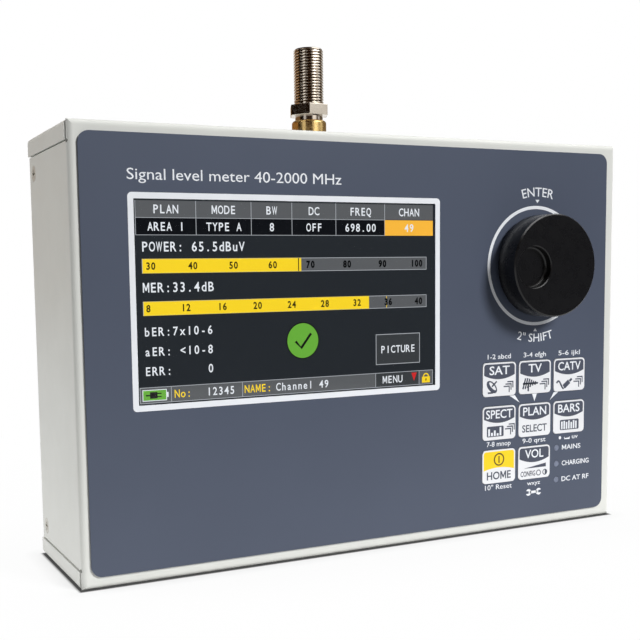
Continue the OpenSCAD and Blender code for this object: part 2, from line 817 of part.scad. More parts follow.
module tuning_knob() {
    color(dark_colour) difference() {
        translate([knob_x, knob_face, knob_z]) rotate([-90, 0, 0]) rotate_extrude() knob_section();
        rod_y(knob_x, hub_back, knob_z, knob_pocket_d, knob_back - hub_back + cut);
        rod_y(knob_x, shaft_front, knob_z, shaft_d + 2 * fit_clear, knob_back - shaft_front);
        rod_y(knob_x - dimple_offset * cos(dimple_turn), knob_face - cut,
              knob_z - dimple_offset * sin(dimple_turn), dimple_d, dimple_depth + cut);
        translate([knob_x, set_screw_y, knob_z - knob_d / 2 - cut])
            cylinder(d = set_screw_d + 2 * run_clear, h = knob_d / 2);
    }
}

module knob_set_screw() {
    top = knob_z - shaft_d / 2 - fit_clear;
    color(steel_colour) difference() {
        translate([knob_x, set_screw_y, top - set_screw_len])
            cylinder(d = set_screw_d, h = set_screw_len);
        translate([knob_x, set_screw_y, top - set_screw_len - cut])
            cylinder(d = set_screw_d * 0.6, h = cut + set_screw_d * 0.6, $fn = 6);
    }
}

// The four corners where the main board is screwed down
module at_board_posts() {
    for (sx = [-1, 1]) for (sz = [-1, 1])
        translate([sx * (main_w / 2 - post_inset), 0, main_z + sz * (main_h / 2 - post_inset)]) children();
}

module main_board() {
    color(board_colour) difference() {
        block(0, main_y, main_z, main_w, main_h, board_t);
        at_board_posts() rod_y(0, main_y - cut, 0, board_screw_d + 2 * fit_clear, board_t + 2 * cut);
    }
}

module board_posts() {
    color(steel_colour) at_board_posts()
        tube_y(0, panel_back, 0, post_d, board_screw_d + 2 * run_clear, main_y - panel_back);
}

module board_screws() {
    color(steel_colour) at_board_posts() board_screw(main_back, board_t + board_screw_grip);
}

module tuner_can() {
    color(steel_colour) translate([input_x - tuner_w / 2, main_back, tuner_top - tuner_h])
        cube([tuner_w, tuner_depth, tuner_h]);
}

module processor_shield() {
    color(steel_colour)
        block(knob_x / 2, main_back, main_bottom + shield_w, shield_w, shield_w, shield_depth);
}

// Turned section of the collar: its upper edge is round
module collar_section() {
    r = collar_d / 2;
    edge = collar_edge_r;
    polygon(concat([[0, 0], [r, 0]], arc(r - edge, collar_h - edge, edge, 0, 90), [[0, collar_h]]));
}

module input_collar() {
    color(gilt_colour) translate([input_x, input_y, 0]) difference() {
        union() {
            translate([0, 0, case_h]) rotate_extrude() collar_section();
            translate([0, 0, shank_bottom]) cylinder(d = shank_d, h = case_h - shank_bottom + cut);
        }
        translate([0, 0, neck_z - adapter_shank_len - fit_clear])
            cylinder(d = adapter_shank_d + 2 * fit_clear, h = adapter_shank_len + fit_clear + cut);
    }
}

module input_roof_nut() {
    color(nickel_colour) translate([input_x, input_y, roof_in - roof_nut_t]) difference() {
        cylinder(d = roof_nut_af / cos(30), h = roof_nut_t, $fn = 6);
        translate([0, 0, -cut]) cylinder(d = shank_d + 2 * run_clear, h = roof_nut_t + 2 * cut);
    }
}

// Ridges of the thread: flat lands at the full radius and grooves between them
module thread_section() {
    r = thread_d / 2;
    land = thread_pitch * 0.35;
    groove = [[r, land], [r - thread_depth, (land + thread_pitch) / 2], [r, thread_pitch]];
    ridges = floor((thread_len - land - thread_chamfer) / thread_pitch);
    grooves = [for (i = [0:ridges - 1]) for (p = groove) [p[0], i * thread_pitch + p[1]]];
    tip = [[r, thread_len - thread_chamfer], [r - thread_chamfer, thread_len], [0, thread_len]];
    polygon(concat([[0, 0], [r, 0]], grooves, tip));
}

module input_adapter() {
    insulator_z = neck_z + fit_clear;
    color(nickel_colour) translate([input_x, input_y, 0]) difference() {
        union() {
            translate([0, 0, neck_z - adapter_shank_len])
                cylinder(d = adapter_shank_d, h = adapter_shank_len + cut);
            translate([0, 0, neck_z]) cylinder(d = neck_d, h = neck_h + cut);
            translate([0, 0, hex_z]) rotate(hex_turn) cylinder(d = hex_af / cos(30), h = hex_t, $fn = 6);
            translate([0, 0, thread_z]) rotate_extrude() thread_section();
        }
        translate([0, 0, insulator_z])
            cylinder(d = insulator_d + 2 * fit_clear, h = input_top - insulator_z + cut);
    }
}

module input_insulator() {
    bottom = neck_z + fit_clear;
    top = input_top - insulator_drop;
    color(white_colour) translate([input_x, input_y, bottom]) difference() {
        cylinder(d = insulator_d, h = top - bottom);
        translate([0, 0, insulator_floor_t]) cylinder(d = contact_d + 2 * fit_clear, h = top - bottom);
    }
}

module input_contact() {
    bottom = neck_z + fit_clear + insulator_floor_t;
    top = input_top - contact_drop;
    color(gilt_colour) translate([input_x, input_y, bottom]) difference() {
        cylinder(d = contact_d, h = top - bottom);
        translate([0, 0, (top - bottom) / 2]) cylinder(d = contact_d / 2, h = top - bottom);
    }
}

module battery_pack() {
    color(wrap_colour) for (i = [0:cell_count - 1])
        rod_x(battery_x - cell_len / 2, battery_front + cell_d / 2,
              battery_z - battery_h / 2 + cell_d / 2 + i * cell_pitch, cell_d, cell_len);
}

module battery_strap() {
    front = battery_front - fit_clear;
    side = battery_h / 2 + fit_clear;
    color(steel_colour) {
        block(battery_x, front - strap_t, battery_z, strap_w, 2 * side + 2 * strap_t, strap_t);
        for (sz = [-1, 1]) {
            block(battery_x, front, battery_z + sz * (side + strap_t / 2), strap_w, strap_t, rear_in - front);
            block(battery_x, rear_in - strap_t, battery_z + sz * (side + strap_foot / 2), strap_w, strap_foot,
                  strap_t);
        }
    }
}

module speaker() {
    color(dark_colour) translate([speaker_x, rear_in, speaker_z]) rotate([90, 0, 0]) rotate_extrude()
        polygon([[0, speaker_dish], [speaker_d / 2 - speaker_rim - speaker_dish, speaker_dish],
                 [speaker_d / 2 - speaker_rim, 0], [speaker_d / 2, 0], [speaker_d / 2, speaker_flange_t],
                 [speaker_d * 0.36, speaker_depth * 0.6], [speaker_d * 0.3, speaker_depth * 0.6],
                 [speaker_d * 0.3, speaker_depth], [0, speaker_depth]]);
}

module power_socket() {
    front = wall_in - fit_clear;
    depth = power_len - power_floor_t;
    color(dark_colour) difference() {
        translate([front - power_len, main_back, power_rise - power_w / 2])
            cube([power_len, power_depth, power_w]);
        difference() {
            rod_x(front - depth, power_y, power_rise, power_bore_d, depth + cut);
            rod_x(front - depth - cut, power_y, power_rise, power_pin_d, depth + cut - power_pin_drop);
        }
    }
}

module data_socket() {
    front = wall_out - data_shell_t;
    color(steel_colour) translate([front - data_len, main_back, data_rise - data_w / 2]) difference() {
        cube([data_len, data_depth, data_w]);
        translate([data_shell_t, data_shell_t, data_shell_t])
            cube([data_len, data_depth - 2 * data_shell_t, data_w - 2 * data_shell_t]);
    }
}

front_housing();
rear_cover();
case_screws();
clinch_nuts();
front_overlay();
screen_window();
screen_glass();
screen_frame();
screen_gasket();
screen_bracket();
screen_posts();
screen_screws();
screen_ribbon();
keypad_board();
keypad_posts();
keypad_screws();
key_switches();
status_lamps();
encoder_body();
encoder_bush();
encoder_washer();
encoder_nut();
encoder_plunger();
encoder_shaft();
tuning_knob();
knob_set_screw();
main_board();
board_posts();
board_screws();
tuner_can();
processor_shield();
input_collar();
input_roof_nut();
input_adapter();
input_insulator();
input_contact();
battery_pack();
battery_strap();
speaker();
power_socket();
data_socket();
for (i = [0:7]) key(i);
for (i = [0:7]) key_plunger(i);
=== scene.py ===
import functools
import json
import math

import bmesh
import bpy
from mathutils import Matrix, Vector

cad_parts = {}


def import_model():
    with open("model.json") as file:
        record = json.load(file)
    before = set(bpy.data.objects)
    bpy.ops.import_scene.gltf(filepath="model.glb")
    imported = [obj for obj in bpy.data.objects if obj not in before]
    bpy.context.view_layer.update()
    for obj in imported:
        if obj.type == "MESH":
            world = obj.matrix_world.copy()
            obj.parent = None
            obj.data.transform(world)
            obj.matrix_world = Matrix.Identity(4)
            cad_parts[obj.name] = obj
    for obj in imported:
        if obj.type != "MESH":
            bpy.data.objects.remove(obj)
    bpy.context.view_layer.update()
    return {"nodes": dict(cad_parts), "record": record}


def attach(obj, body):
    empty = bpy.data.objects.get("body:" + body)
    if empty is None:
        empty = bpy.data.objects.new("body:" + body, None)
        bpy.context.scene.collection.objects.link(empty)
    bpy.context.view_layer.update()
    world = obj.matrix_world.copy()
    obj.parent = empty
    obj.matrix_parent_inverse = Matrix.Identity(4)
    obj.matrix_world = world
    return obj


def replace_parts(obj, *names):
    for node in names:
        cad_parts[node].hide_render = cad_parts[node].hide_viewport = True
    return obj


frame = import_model()

# Lengths of the object are written in millimetres, and those of the set round it in metres
MM = 0.001

# Planes and places of the solids
CASE_W = 191.5
CASE_D = 45.5
FILM_FRONT = -23.35
KEY_FRONT = -23.55
GLASS_FRONT = -22.65
WINDOW_X = -28.35
WINDOW_Z = 79.2
WINDOW_W = 98.6
WINDOW_H = 56.9
KNOB_X = 61.05
KNOB_Z = 88.0
KEY_W = 13.4
KEY_H = 11.1
KEY_PITCH = 14.75
KEY_COLUMNS = (KNOB_X - KEY_PITCH, KNOB_X, KNOB_X + KEY_PITCH)
KEY_ROWS = (51.0, 36.5, 22.0)
LAMP_X = 70.85
LAMP_ROWS = (26.0, 20.5, 15.0)
INPUT_X = -9.6
INPUT_Y = 2.8

# How thick the ink of a print is
INK = 0.03


# Nodes

def feed(tree, node, inputs):
    """Fills a node's inputs, each with a plain value or with a link from another node's output."""
    for socket, value in inputs.items():
        if isinstance(value, bpy.types.NodeSocket):
            tree.links.new(value, node.inputs[socket])
        else:
            node.inputs[socket].default_value = value


def add_node(tree, kind, inputs, **settings):
    node = tree.nodes.new("ShaderNode" + kind)
    for setting, value in settings.items():
        setattr(node, setting, value)
    feed(tree, node, inputs)
    return node


def own_space(tree):
    """A place on the piece, in the piece's own space."""
    return add_node(tree, "TexCoord", {}).outputs["Object"]


def maths(tree, operation, first, second):
    return add_node(tree, "Math", {0: first, 1: second}, operation=operation).outputs["Value"]


def vector_maths(tree, operation, *values):
    node = add_node(tree, "VectorMath", dict(enumerate(values)), operation=operation)
    return node.outputs["Value" if operation == "LENGTH" else "Vector"]


def mix_colours(tree, factor, first, second):
    inputs = {"Factor": factor, "A": first, "B": second}
    return add_node(tree, "Mix", inputs, data_type="RGBA").outputs["Result"]


def noise(tree, coords, scale, detail):
    inputs = {"Vector": coords, "Scale": scale, "Detail": detail}
    return add_node(tree, "TexNoise", inputs).outputs["Fac"]


def ramp(tree, source, start, end, low=0.0, high=1.0):
    """Takes the range from start to end to the range from low to high."""
    inputs = {"Value": source, "From Min": start, "From Max": end, "To Min": low, "To Max": high}
    return add_node(tree, "MapRange", inputs).outputs["Result"]


def new_material(name):
    """A material, its node tree and the shader that it starts with."""
    mat = bpy.data.materials.new(name)
    mat.use_nodes = True
    return mat, mat.node_tree, mat.node_tree.nodes["Principled BSDF"]


# Materials

# The range that a noise keeps to, round a half
NOISE_SPAN = (0.3, 0.7)
# How much finer than the mottling the gloss varies
GLOSS_FINER = 3
MOTTLE_DETAIL = 4
GLOSS_DETAIL = 3
GRAIN_DETAIL = 2
GRAIN_STRENGTH = 0.6
MARK_STRENGTH = 0.25
MARK_WAVER = 1.5
# Rows of the screen's picture cells, and how far their light swings
PICTURE_ROWS = 1600
PICTURE_DIM = 0.90
PICTURE_BRIGHT = 1.06
# What the screen's picture reflects as a plain surface, beside its own light
PICTURE_BASE = 0.05
WINDOW_TINT = (0.97, 0.98, 1.0, 1.0)
WINDOW_MOTTLE = 60
WINDOW_DETAIL = 2
WINDOW_GLOSS = (0.02, 0.06)


def srgb(red, green, blue):
    """A colour as a screen shows it, 0 to 255, turned into the linear one that a shader takes."""
    def linear(value):
        value /= 255
        return value / 12.92 if value <= 0.04045 else ((value + 0.055) / 1.055) ** 2.4
    return (linear(red), linear(green), linear(blue), 1.0)


def shade(colour, factor):
    return tuple(min(c * factor, 1.0) for c in colour[:3]) + (1.0,)


def surface(name, colour, rough, metal=0.0, specular=0.5, mottle=0.05, mottle_scale=70, grain=1500,
            grain_depth=0.012, rough_spread=0.06, marks=0.0):
    """A finish with soft mottling, uneven gloss and a fine grain, all in the piece's own space.
    grain_depth is in millimetres, and marks adds turned lines along the height."""
    mat, tree, shader = new_material(name)
    coords = own_space(tree)
    depth = grain_depth * MM
    soft = noise(tree, coords, mottle_scale, MOTTLE_DETAIL)
    uneven = noise(tree, coords, mottle_scale * GLOSS_FINER, GLOSS_DETAIL)
    fine = noise(tree, coords, grain, GRAIN_DETAIL)
    bump = add_node(tree, "Bump", {"Strength": GRAIN_STRENGTH, "Distance": depth, "Height": fine})
    if marks:
        turned = {"Vector": coords, "Scale": marks, "Distortion": MARK_WAVER}
        wave = add_node(tree, "TexWave", turned, bands_direction="Z")
        bump = add_node(tree, "Bump", {"Strength": MARK_STRENGTH, "Distance": depth,
                                       "Height": wave.outputs["Fac"],
                                       "Normal": bump.outputs["Normal"]})
    feed(tree, shader, {
        "Base Color": mix_colours(tree, ramp(tree, soft, *NOISE_SPAN),
                                  shade(colour, 1 - mottle), shade(colour, 1 + mottle)),
        "Roughness": ramp(tree, uneven, *NOISE_SPAN, rough - rough_spread, rough + rough_spread),
        "Normal": bump.outputs["Normal"],
        "Metallic": metal,
        "Specular IOR Level": specular,
    })
    return mat


def lit(name, colour):
    """A part of the screen's picture: it glows through fine rows of picture cells. The clear window
    is bonded to the screen, so the gloss of both lies here, as a coat."""
    mat, tree, shader = new_material(name)
    cells = add_node(tree, "TexWave", {"Scale": PICTURE_ROWS, "Vector": own_space(tree)},
                     bands_direction="X")
    feed(tree, shader, {
        "Emission Color": mix_colours(tree, cells.outputs["Fac"], shade(colour, PICTURE_DIM),
                                      shade(colour, PICTURE_BRIGHT)),
        "Emission Strength": 1.0,
        "Base Color": shade(colour, PICTURE_BASE),
        "Roughness": 0.5,
        "Specular IOR Level": 0.0,
        "Coat Weight": 1.0,
        "Coat Roughness": 0.06,
        "Coat IOR": 1.3,
    })
    return mat


def clear(name):
    """The clear part of the film, with a faint unevenness in its gloss."""
    mat, tree, shader = new_material(name)
    uneven = noise(tree, own_space(tree), WINDOW_MOTTLE, WINDOW_DETAIL)
    feed(tree, shader, {
        "Roughness": ramp(tree, uneven, *NOISE_SPAN, *WINDOW_GLOSS),
        "Base Color": WINDOW_TINT,
        "Transmission Weight": 1.0,
        "IOR": 1.02,
    })
    return mat


INK_LOOK = dict(mottle_scale=200, grain=3000, grain_depth=0.004)

# By the name of the finish: its colour on a screen, its roughness and what else sets it apart
LOOKS = {
    "case_paint": ((222, 223, 218), 0.42,
                   dict(mottle=0.02, grain=1100, grain_depth=0.016, specular=0.15)),
    "overlay_film": ((79, 86, 102), 0.35,
                     dict(mottle=0.03, mottle_scale=25, grain=2600, grain_depth=0.003,
                          rough_spread=0.02, specular=0.25)),
    "screen_black": ((18, 20, 22), 0.3, dict(grain=3000, grain_depth=0.002)),
    "steel": ((178, 174, 166), 0.3, dict(metal=1.0, mottle=0.06, grain=1800, grain_depth=0.01)),
    "zinc": ((208, 206, 198), 0.5,
             dict(metal=0.25, mottle=0.1, mottle_scale=500, grain=2200, grain_depth=0.02)),
    "foam": ((34, 34, 36), 0.95, dict(mottle=0.2, mottle_scale=500, grain=900, grain_depth=0.15)),
    "board_green": ((30, 92, 52), 0.38,
                    dict(mottle=0.12, mottle_scale=160, grain=700, grain_depth=0.02)),
    "ribbon_amber": ((196, 128, 46), 0.35, dict(mottle=0.1, grain=1200)),
    "key_white": ((236, 237, 240), 0.45, dict(mottle=0.02, grain=2400, grain_depth=0.006)),
    "plunger_white": ((224, 222, 212), 0.4, dict(mottle=0.04)),
    "switch_black": ((30, 30, 32), 0.42, dict(mottle=0.1)),
    "lamp_lens": ((116, 124, 144), 0.3, dict(mottle=0.1, mottle_scale=400)),
    "knob_black": ((6, 6, 8), 0.28,
                   dict(mottle=0.06, mottle_scale=90, grain=1900, grain_depth=0.005,
                        rough_spread=0.03, specular=0.36)),
    "nickel": ((218, 209, 196), 0.14,
               dict(metal=1.0, mottle=0.07, mottle_scale=220, grain=2600, grain_depth=0.004,
                    rough_spread=0.05)),
    "gilt": ((224, 192, 128), 0.26,
             dict(metal=1.0, mottle=0.14, mottle_scale=260, grain=2200, grain_depth=0.006,
                  marks=1400)),
    "insulator": ((226, 222, 208), 0.5, {}),
    "battery_wrap": ((40, 66, 128), 0.3, dict(mottle=0.06, grain=900)),
    "speaker_black": ((26, 26, 27), 0.7,
                      dict(mottle=0.2, mottle_scale=300, grain=1200, grain_depth=0.05)),
    "white_ink": ((238, 241, 246), 0.5, dict(mottle=0.02, **INK_LOOK)),
    "slate_ink": ((70, 75, 90), 0.46, dict(mottle=0.04, **INK_LOOK)),
    "yellow_ink": ((254, 214, 28), 0.46, dict(mottle=0.03, **INK_LOOK)),
    "brown_ink": ((100, 82, 30), 0.46, dict(mottle=0.03, **INK_LOOK)),
}

FINISH = {name: surface(name, srgb(*colour), rough, **more)
          for name, (colour, rough, more) in LOOKS.items()}
FINISH["clear_window"] = clear("clear_window")

# The power key's pad is white below its yellow print, and the case screws have a dull zinc coat
OTHER_FINISH = {"key_power": "key_white", "case_screws": "zinc"}

for row in frame["record"]["subparts"]:
    slots = frame["nodes"][row["node"]].data.materials
    slots.clear()
    slots.append(FINISH[OTHER_FINISH.get(row["node"], row["material_slot"])])


# Pieces

SHARP = math.radians(28)
DRILL_SIDES = 32


def show(name, data):
    """Puts a mesh, a lamp or the like into the scene as a new object."""
    obj = bpy.data.objects.new(name, data)
    bpy.context.scene.collection.objects.link(obj)
    return obj


def show_shape(name, bm):
    mesh = bpy.data.meshes.new(name)
    bm.to_mesh(mesh)
    bm.free()
    return show(name, mesh)


def piece(name, bm, material, body):
    """A visible piece of the object, on the body that it moves with."""
    bmesh.ops.recalc_face_normals(bm, faces=bm.faces)
    obj = show_shape(name, bm)
    obj.data.materials.append(material)
    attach(obj, body)
    return obj


def soften(obj):
    """Smooth shading that keeps the sharp edges."""
    obj.data.shade_smooth()
    obj.data.set_sharp_from_angle(angle=SHARP)


def drill(obj, radius, start, end):
    """Cuts a round hole between two points out of a closed piece."""
    start, end = Vector(start) * MM, Vector(end) * MM
    bm = bmesh.new()
    bmesh.ops.create_cone(bm, cap_ends=True, segments=DRILL_SIDES, radius1=radius * MM,
                          radius2=radius * MM, depth=(end - start).length)
    tool = show_shape("drill", bm)
    tool.location = (start + end) / 2
    tool.rotation_euler = (end - start).to_track_quat("Z", "Y").to_euler()
    cut = obj.modifiers.new("drill", "BOOLEAN")
    cut.operation = "DIFFERENCE"
    cut.solver = "EXACT"
    cut.object = tool
    bpy.context.view_layer.update()
    ready = obj.evaluated_get(bpy.context.evaluated_depsgraph_get())
    whole, tool_mesh = obj.data, tool.data
    obj.data = bpy.data.meshes.new_from_object(ready)
    obj.modifiers.clear()
    bpy.data.objects.remove(tool)
    bpy.data.meshes.remove(tool_mesh)
    bpy.data.meshes.remove(whole)


def skirt(bm, low, high):
    """Faces between two closed rows of as many points."""
    for i in range(len(low)):
        bm.faces.new((low[i - 1], low[i], high[i], high[i - 1]))


def loft(loops):
    """A closed skin through rings of equal length, with a flat end on the first and the last."""
    bm = bmesh.new()
    rings = [[bm.verts.new(Vector(p) * MM) for p in loop] for loop in loops]
    for low, high in zip(rings, rings[1:]):
        skirt(bm, low, high)
    bm.faces.new(reversed(rings[0]))
    bm.faces.new(rings[-1])
    return bm


# Outlines, as points to the right and up

# The least cosine by which a stroke's corner is widened
MITRE = 0.5


def rect(left, low, right, high):
    return [(left, low), (right, low), (right, high), (left, high)]


def arc(x, z, radius, start, stop, steps):
    angles = [math.radians(start + (stop - start) * i / steps) for i in range(steps + 1)]
    return [(x + radius * math.cos(a), z + radius * math.sin(a)) for a in angles]


def circle(x, z, radius, steps=48):
    return arc(x, z, radius, 0, 360 * (steps - 1) / steps, steps - 1)


def rounded(x, z, width, height, radius, steps=6):
    dx, dz = width / 2 - radius, height / 2 - radius
    corners = ((dx, dz, 0), (-dx, dz, 90), (-dx, -dz, 180), (dx, -dz, 270))
    return [p for u, w, turn in corners for p in arc(x + u, z + w, radius, turn, turn + 90, steps)]


def leaning(x, z, long, short, lean):
    """An ellipse whose long axis leans by an angle."""
    c, s = math.cos(math.radians(lean)), math.sin(math.radians(lean))
    return [(x + u * long * c - w * short * s, z + u * long * s + w * short * c)
            for u, w in circle(0, 0, 1.0, 28)]


def stroke(points, width):
    """The outline of a line of even width along the points."""
    left, right = [], []
    for i, (x, z) in enumerate(points):
        ahead = points[min(i + 1, len(points) - 1)]
        behind = points[max(i - 1, 0)]
        run = Vector((ahead[0] - behind[0], ahead[1] - behind[1])).normalized()
        turn = 1.0
        if 0 < i < len(points) - 1:
            leg = Vector((ahead[0] - x, ahead[1] - z)).normalized()
            turn = max(run.dot(leg), MITRE)
        half = width / 2 / turn
        left.append((x - run.y * half, z + run.x * half))
        right.append((x + run.y * half, z - run.x * half))
    return right + left[::-1]


# Letters, one unit high, as the corners and faces of a solid one unit thick

CURVE_STEPS = 3
# The letter M: its stem, then by the stem its shoulder, its point's half width and its dip, and by
# its height the notch
M_STEM = 0.097
M_SHOULDER = 1.1
M_POINT = 0.35
M_DIP = 1.5
M_NOTCH = 0.42


def span(corners, axis):
    """The least and the greatest coordinate along an axis."""
    values = [c[axis] for c in corners]
    return min(values), max(values)


@functools.cache
def letters(text, bold):
    if bold and text == "M":
        return bold_m(bold)
    if bold and "M" in text:
        return letters_apart(text, bold)
    return font_letters(text, bold)


def font_letters(text, bold):
    curve = bpy.data.curves.new("letters", "FONT")
    curve.body = text
    curve.resolution_u = CURVE_STEPS
    curve.offset = bold
    curve.extrude = 0.5
    obj = show("letters", curve)
    bpy.context.view_layer.update()
    ready = obj.evaluated_get(bpy.context.evaluated_depsgraph_get())
    mesh = ready.to_mesh()
    corners = [v.co.copy() for v in mesh.vertices]
    faces = [tuple(p.vertices) for p in mesh.polygons]
    ready.to_mesh_clear()
    bpy.data.objects.remove(obj)
    bpy.data.curves.remove(curve)
    return corners, faces


def letters_apart(text, bold):
    """A word letter by letter, each where the font puts it."""
    corners, faces = [], []
    for i, char in enumerate(text):
        if char != " ":
            own_end = span(letters(char, 0.0)[0], 0)[1]
            end = span(letters(text[:i + 1], 0.0)[0], 0)[1]
            shift = Vector((end - own_end, 0, 0))
            more, skin = letters(char, bold)
            faces += [tuple(len(corners) + k for k in face) for face in skin]
            corners += [c + shift for c in more]
    return corners, faces


def bold_m(bold):
    """The letter M from its own outline, because the font's closes up when it is widened."""
    corners = letters("M", 0.0)[0]
    left, right = span(corners, 0)
    foot, top = span(corners, 1)
    left, right, foot, top = left - bold, right + bold, foot - bold, top + bold
    wide, stem = right - left, M_STEM + 2 * bold
    shoulder, point = stem * M_SHOULDER, stem * M_POINT
    notch = foot + M_NOTCH * (top - foot)
    slope = (top - notch) / (wide / 2 - shoulder)
    dip = notch - stem * M_DIP
    inside = dip + slope * (wide / 2 - point - stem)
    half = [(0, foot), (0, top), (shoulder, top), (wide / 2, notch)]
    under = [(wide / 2 - point, dip), (stem, inside), (stem, foot)]
    outline = half + [(wide - x, y) for x, y in half[-2::-1]]
    outline += [(wide - x, y) for x, y in under[::-1]] + under
    count = len(outline)
    solid = [Vector((left + x, y, z)) for z in (0.5, -0.5) for x, y in outline]
    sides = [(i, (i + 1) % count, count + (i + 1) % count, count + i) for i in range(count)]
    return solid, [tuple(range(count)), tuple(range(2 * count - 1, count - 1, -1))] + sides


# The height of a capital letter
CAPITAL = span(letters("H", 0.0)[0], 1)[1]


# Prints

# Points that lie closer than this, in metres, are one
CLOSE = 2e-7
# The screen's fixed-width type: how wide its letters are, at most by their step
TYPE_NARROW = 0.88
TYPE_FILL = 0.86
TYPE_BOLD = 0.012


class Print:
    """Thin ink on a plane that faces the front: shapes and words in one piece."""

    def __init__(self, back, thick=INK):
        self.bm = bmesh.new()
        self.back = back
        self.thick = thick

    def points(self, outline, out):
        """Points on the ink's back (out = 0) or front (out = 1)."""
        y = self.back - out * self.thick
        return [self.bm.verts.new(Vector((x, y, z)) * MM) for x, z in outline]

    def shape(self, outline):
        low, top = self.points(outline, 0), self.points(outline, 1)
        self.bm.faces.new(top)
        self.bm.faces.new(reversed(low))
        skirt(self.bm, low, top)

    def band(self, outer, inner):
        """A flat ring between two outlines with as many points."""
        rings = [self.points(outer, 0), self.points(outer, 1),
                 self.points(inner, 1), self.points(inner, 0)]
        for low, high in zip(rings, rings[1:] + rings[:1]):
            skirt(self.bm, low, high)

    def frame(self, left, low, right, high, line):
        inner = rect(left + line, low + line, right - line, high - line)
        self.band(rect(left, low, right, high), inner)

    def words(self, text, x, z, cap, width, align=0.5, bold=0.0, bend=None):
        """Letters of the given height and width with their foot at z. align 0 starts them at x, and
        0.5 sets their middle there. bend = (radius, sense) lays their foot along an arc round the
        point instead, above it with sense 1 and below it with sense -1."""
        corners, faces = letters(text, bold)
        left, right = span(corners, 0)
        wide, size = width / (right - left), cap / CAPITAL
        made = []
        for c in corners:
            u, v = (c.x - left) * wide - align * width, c.y * size
            place = (x + u, z + v)
            if bend:
                radius, sense = bend
                reach = radius + sense * v
                place = (x + reach * math.sin(u / radius), z + sense * reach * math.cos(u / radius))
            made += self.points([place], c.z + 0.5)
        for face in faces:
            self.bm.faces.new([made[i] for i in face])

    def screen_words(self, text, x, z, cap, step, bold):
        """Letters that stand at even steps from x, as a screen's fixed-width type does."""
        for i, char in enumerate(text):
            if char != " ":
                left, right = span(letters(char, bold)[0], 0)
                wide = min((right - left) * cap / CAPITAL * TYPE_NARROW, step * TYPE_FILL)
                self.words(char, x + (i + 0.5) * step, z, cap, wide, bold=bold)

    def make(self, name, material, body, slot):
        bmesh.ops.remove_doubles(self.bm, verts=self.bm.verts, dist=CLOSE)
        bmesh.ops.dissolve_degenerate(self.bm, edges=self.bm.edges, dist=CLOSE)
        return piece(name, self.bm, material, body)


# Tuning knob: a turned skin with broken edges and an off-centre dimple, and the set screw's hole

KNOB_FACE = -33.25
KNOB_BACK = -24.35
KNOB_R = 16.6
KNOB_RIM = 0.4
KNOB_BACK_RIM = 0.5
KNOB_SIDES = 128
POCKET_R = 7.77
POCKET_FLOOR = -26.45
BORE_R = 3.1
BORE_FLOOR = -29.85
SET_SCREW_R = 1.05
# How far the set screw's hole runs on into the bore and out of the side
SET_SCREW_IN = 0.4
SET_SCREW_OUT = 1.0
DIMPLE_OFFSET = 8.6
DIMPLE_TURN = math.radians(3)
DIMPLE_AT = (-DIMPLE_OFFSET * math.cos(DIMPLE_TURN), -DIMPLE_OFFSET * math.sin(DIMPLE_TURN))
DIMPLE_R = 6.65
DIMPLE_FLOOR = -30.65
DIMPLE_RIM = 0.25
DIMPLE_ROUND = 0.7
DIMPLE_STEPS = 6


def ring_y(radius, y, shift=(0.0, 0.0)):
    """A ring round the knob's axis, or beside it."""
    return [(x, y, z) for x, z in circle(KNOB_X + shift[0], KNOB_Z + shift[1], radius, KNOB_SIDES)]


def knob():
    loops = [ring_y(BORE_R, BORE_FLOOR), ring_y(BORE_R, POCKET_FLOOR),
             ring_y(POCKET_R, POCKET_FLOOR), ring_y(POCKET_R, KNOB_BACK),
             ring_y(KNOB_R - KNOB_BACK_RIM, KNOB_BACK), ring_y(KNOB_R, KNOB_BACK - KNOB_BACK_RIM),
             ring_y(KNOB_R, KNOB_FACE + KNOB_RIM), ring_y(KNOB_R - KNOB_RIM, KNOB_FACE),
             ring_y(DIMPLE_R + DIMPLE_RIM, KNOB_FACE, DIMPLE_AT),
             ring_y(DIMPLE_R, KNOB_FACE + DIMPLE_RIM, DIMPLE_AT)]
    for step in range(DIMPLE_STEPS + 1):
        a = math.pi / 2 * step / DIMPLE_STEPS
        loops.append(ring_y(DIMPLE_R - DIMPLE_ROUND * (1 - math.cos(a)),
                            DIMPLE_FLOOR - DIMPLE_ROUND * (1 - math.sin(a)), DIMPLE_AT))
    obj = piece("knob_cap", loft(loops), FINISH["knob_black"], "knob")
    screw_y = (POCKET_FLOOR + BORE_FLOOR) / 2
    drill(obj, SET_SCREW_R, (KNOB_X, screw_y, KNOB_Z - BORE_R + SET_SCREW_IN),
          (KNOB_X, screw_y, KNOB_Z - KNOB_R - SET_SCREW_OUT))
    soften(obj)
    return obj


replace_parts(knob(), "tuning_knob")


# Threaded adapter on the roof: neck, chamfered hexagon and a helical thread

COLLAR_TOP = 135.3
SPIGOT_R = 4.0
SPIGOT_DEEP = 4.0
NECK_R = 4.4
HEX_FLAT = 5.8
HEX_LOW = 136.8
HEX_TURN = math.radians(5)
HEX_EDGE = 0.12
THREAD_FOOT = 140.1
THREAD_TOP = 157.7
THREAD_R = 4.7
THREAD_PITCH = 0.88
THREAD_DEPTH = 0.5
THREAD_CREST = 0.4
THREAD_ROWS = 16
THREAD_END = 0.6
THREAD_CHAMFER = 0.5
MOUTH_R = 2.8
MOUTH_FLOOR = COLLAR_TOP + 0.1
INPUT_SIDES = 72
# Painted shade: a dark brown laid into the thread's grooves to darken them
GROOVE_SHADE = srgb(72, 46, 30)
# The parts of the thread's depth between which the painted shade in the grooves fades
GROOVE_SHADE_DEEP = 0.9
GROOVE_SHADE_SHALLOW = 0.4


def ring_z(radius, z):
    """A ring round the input's axis, whose radius may be a function of the angle."""
    ring = []
    for i in range(INPUT_SIDES):
        a = 2 * math.pi * i / INPUT_SIDES
        r = radius(a) if callable(radius) else radius
        ring.append((INPUT_X + r * math.cos(a), INPUT_Y + r * math.sin(a), z))
    return ring


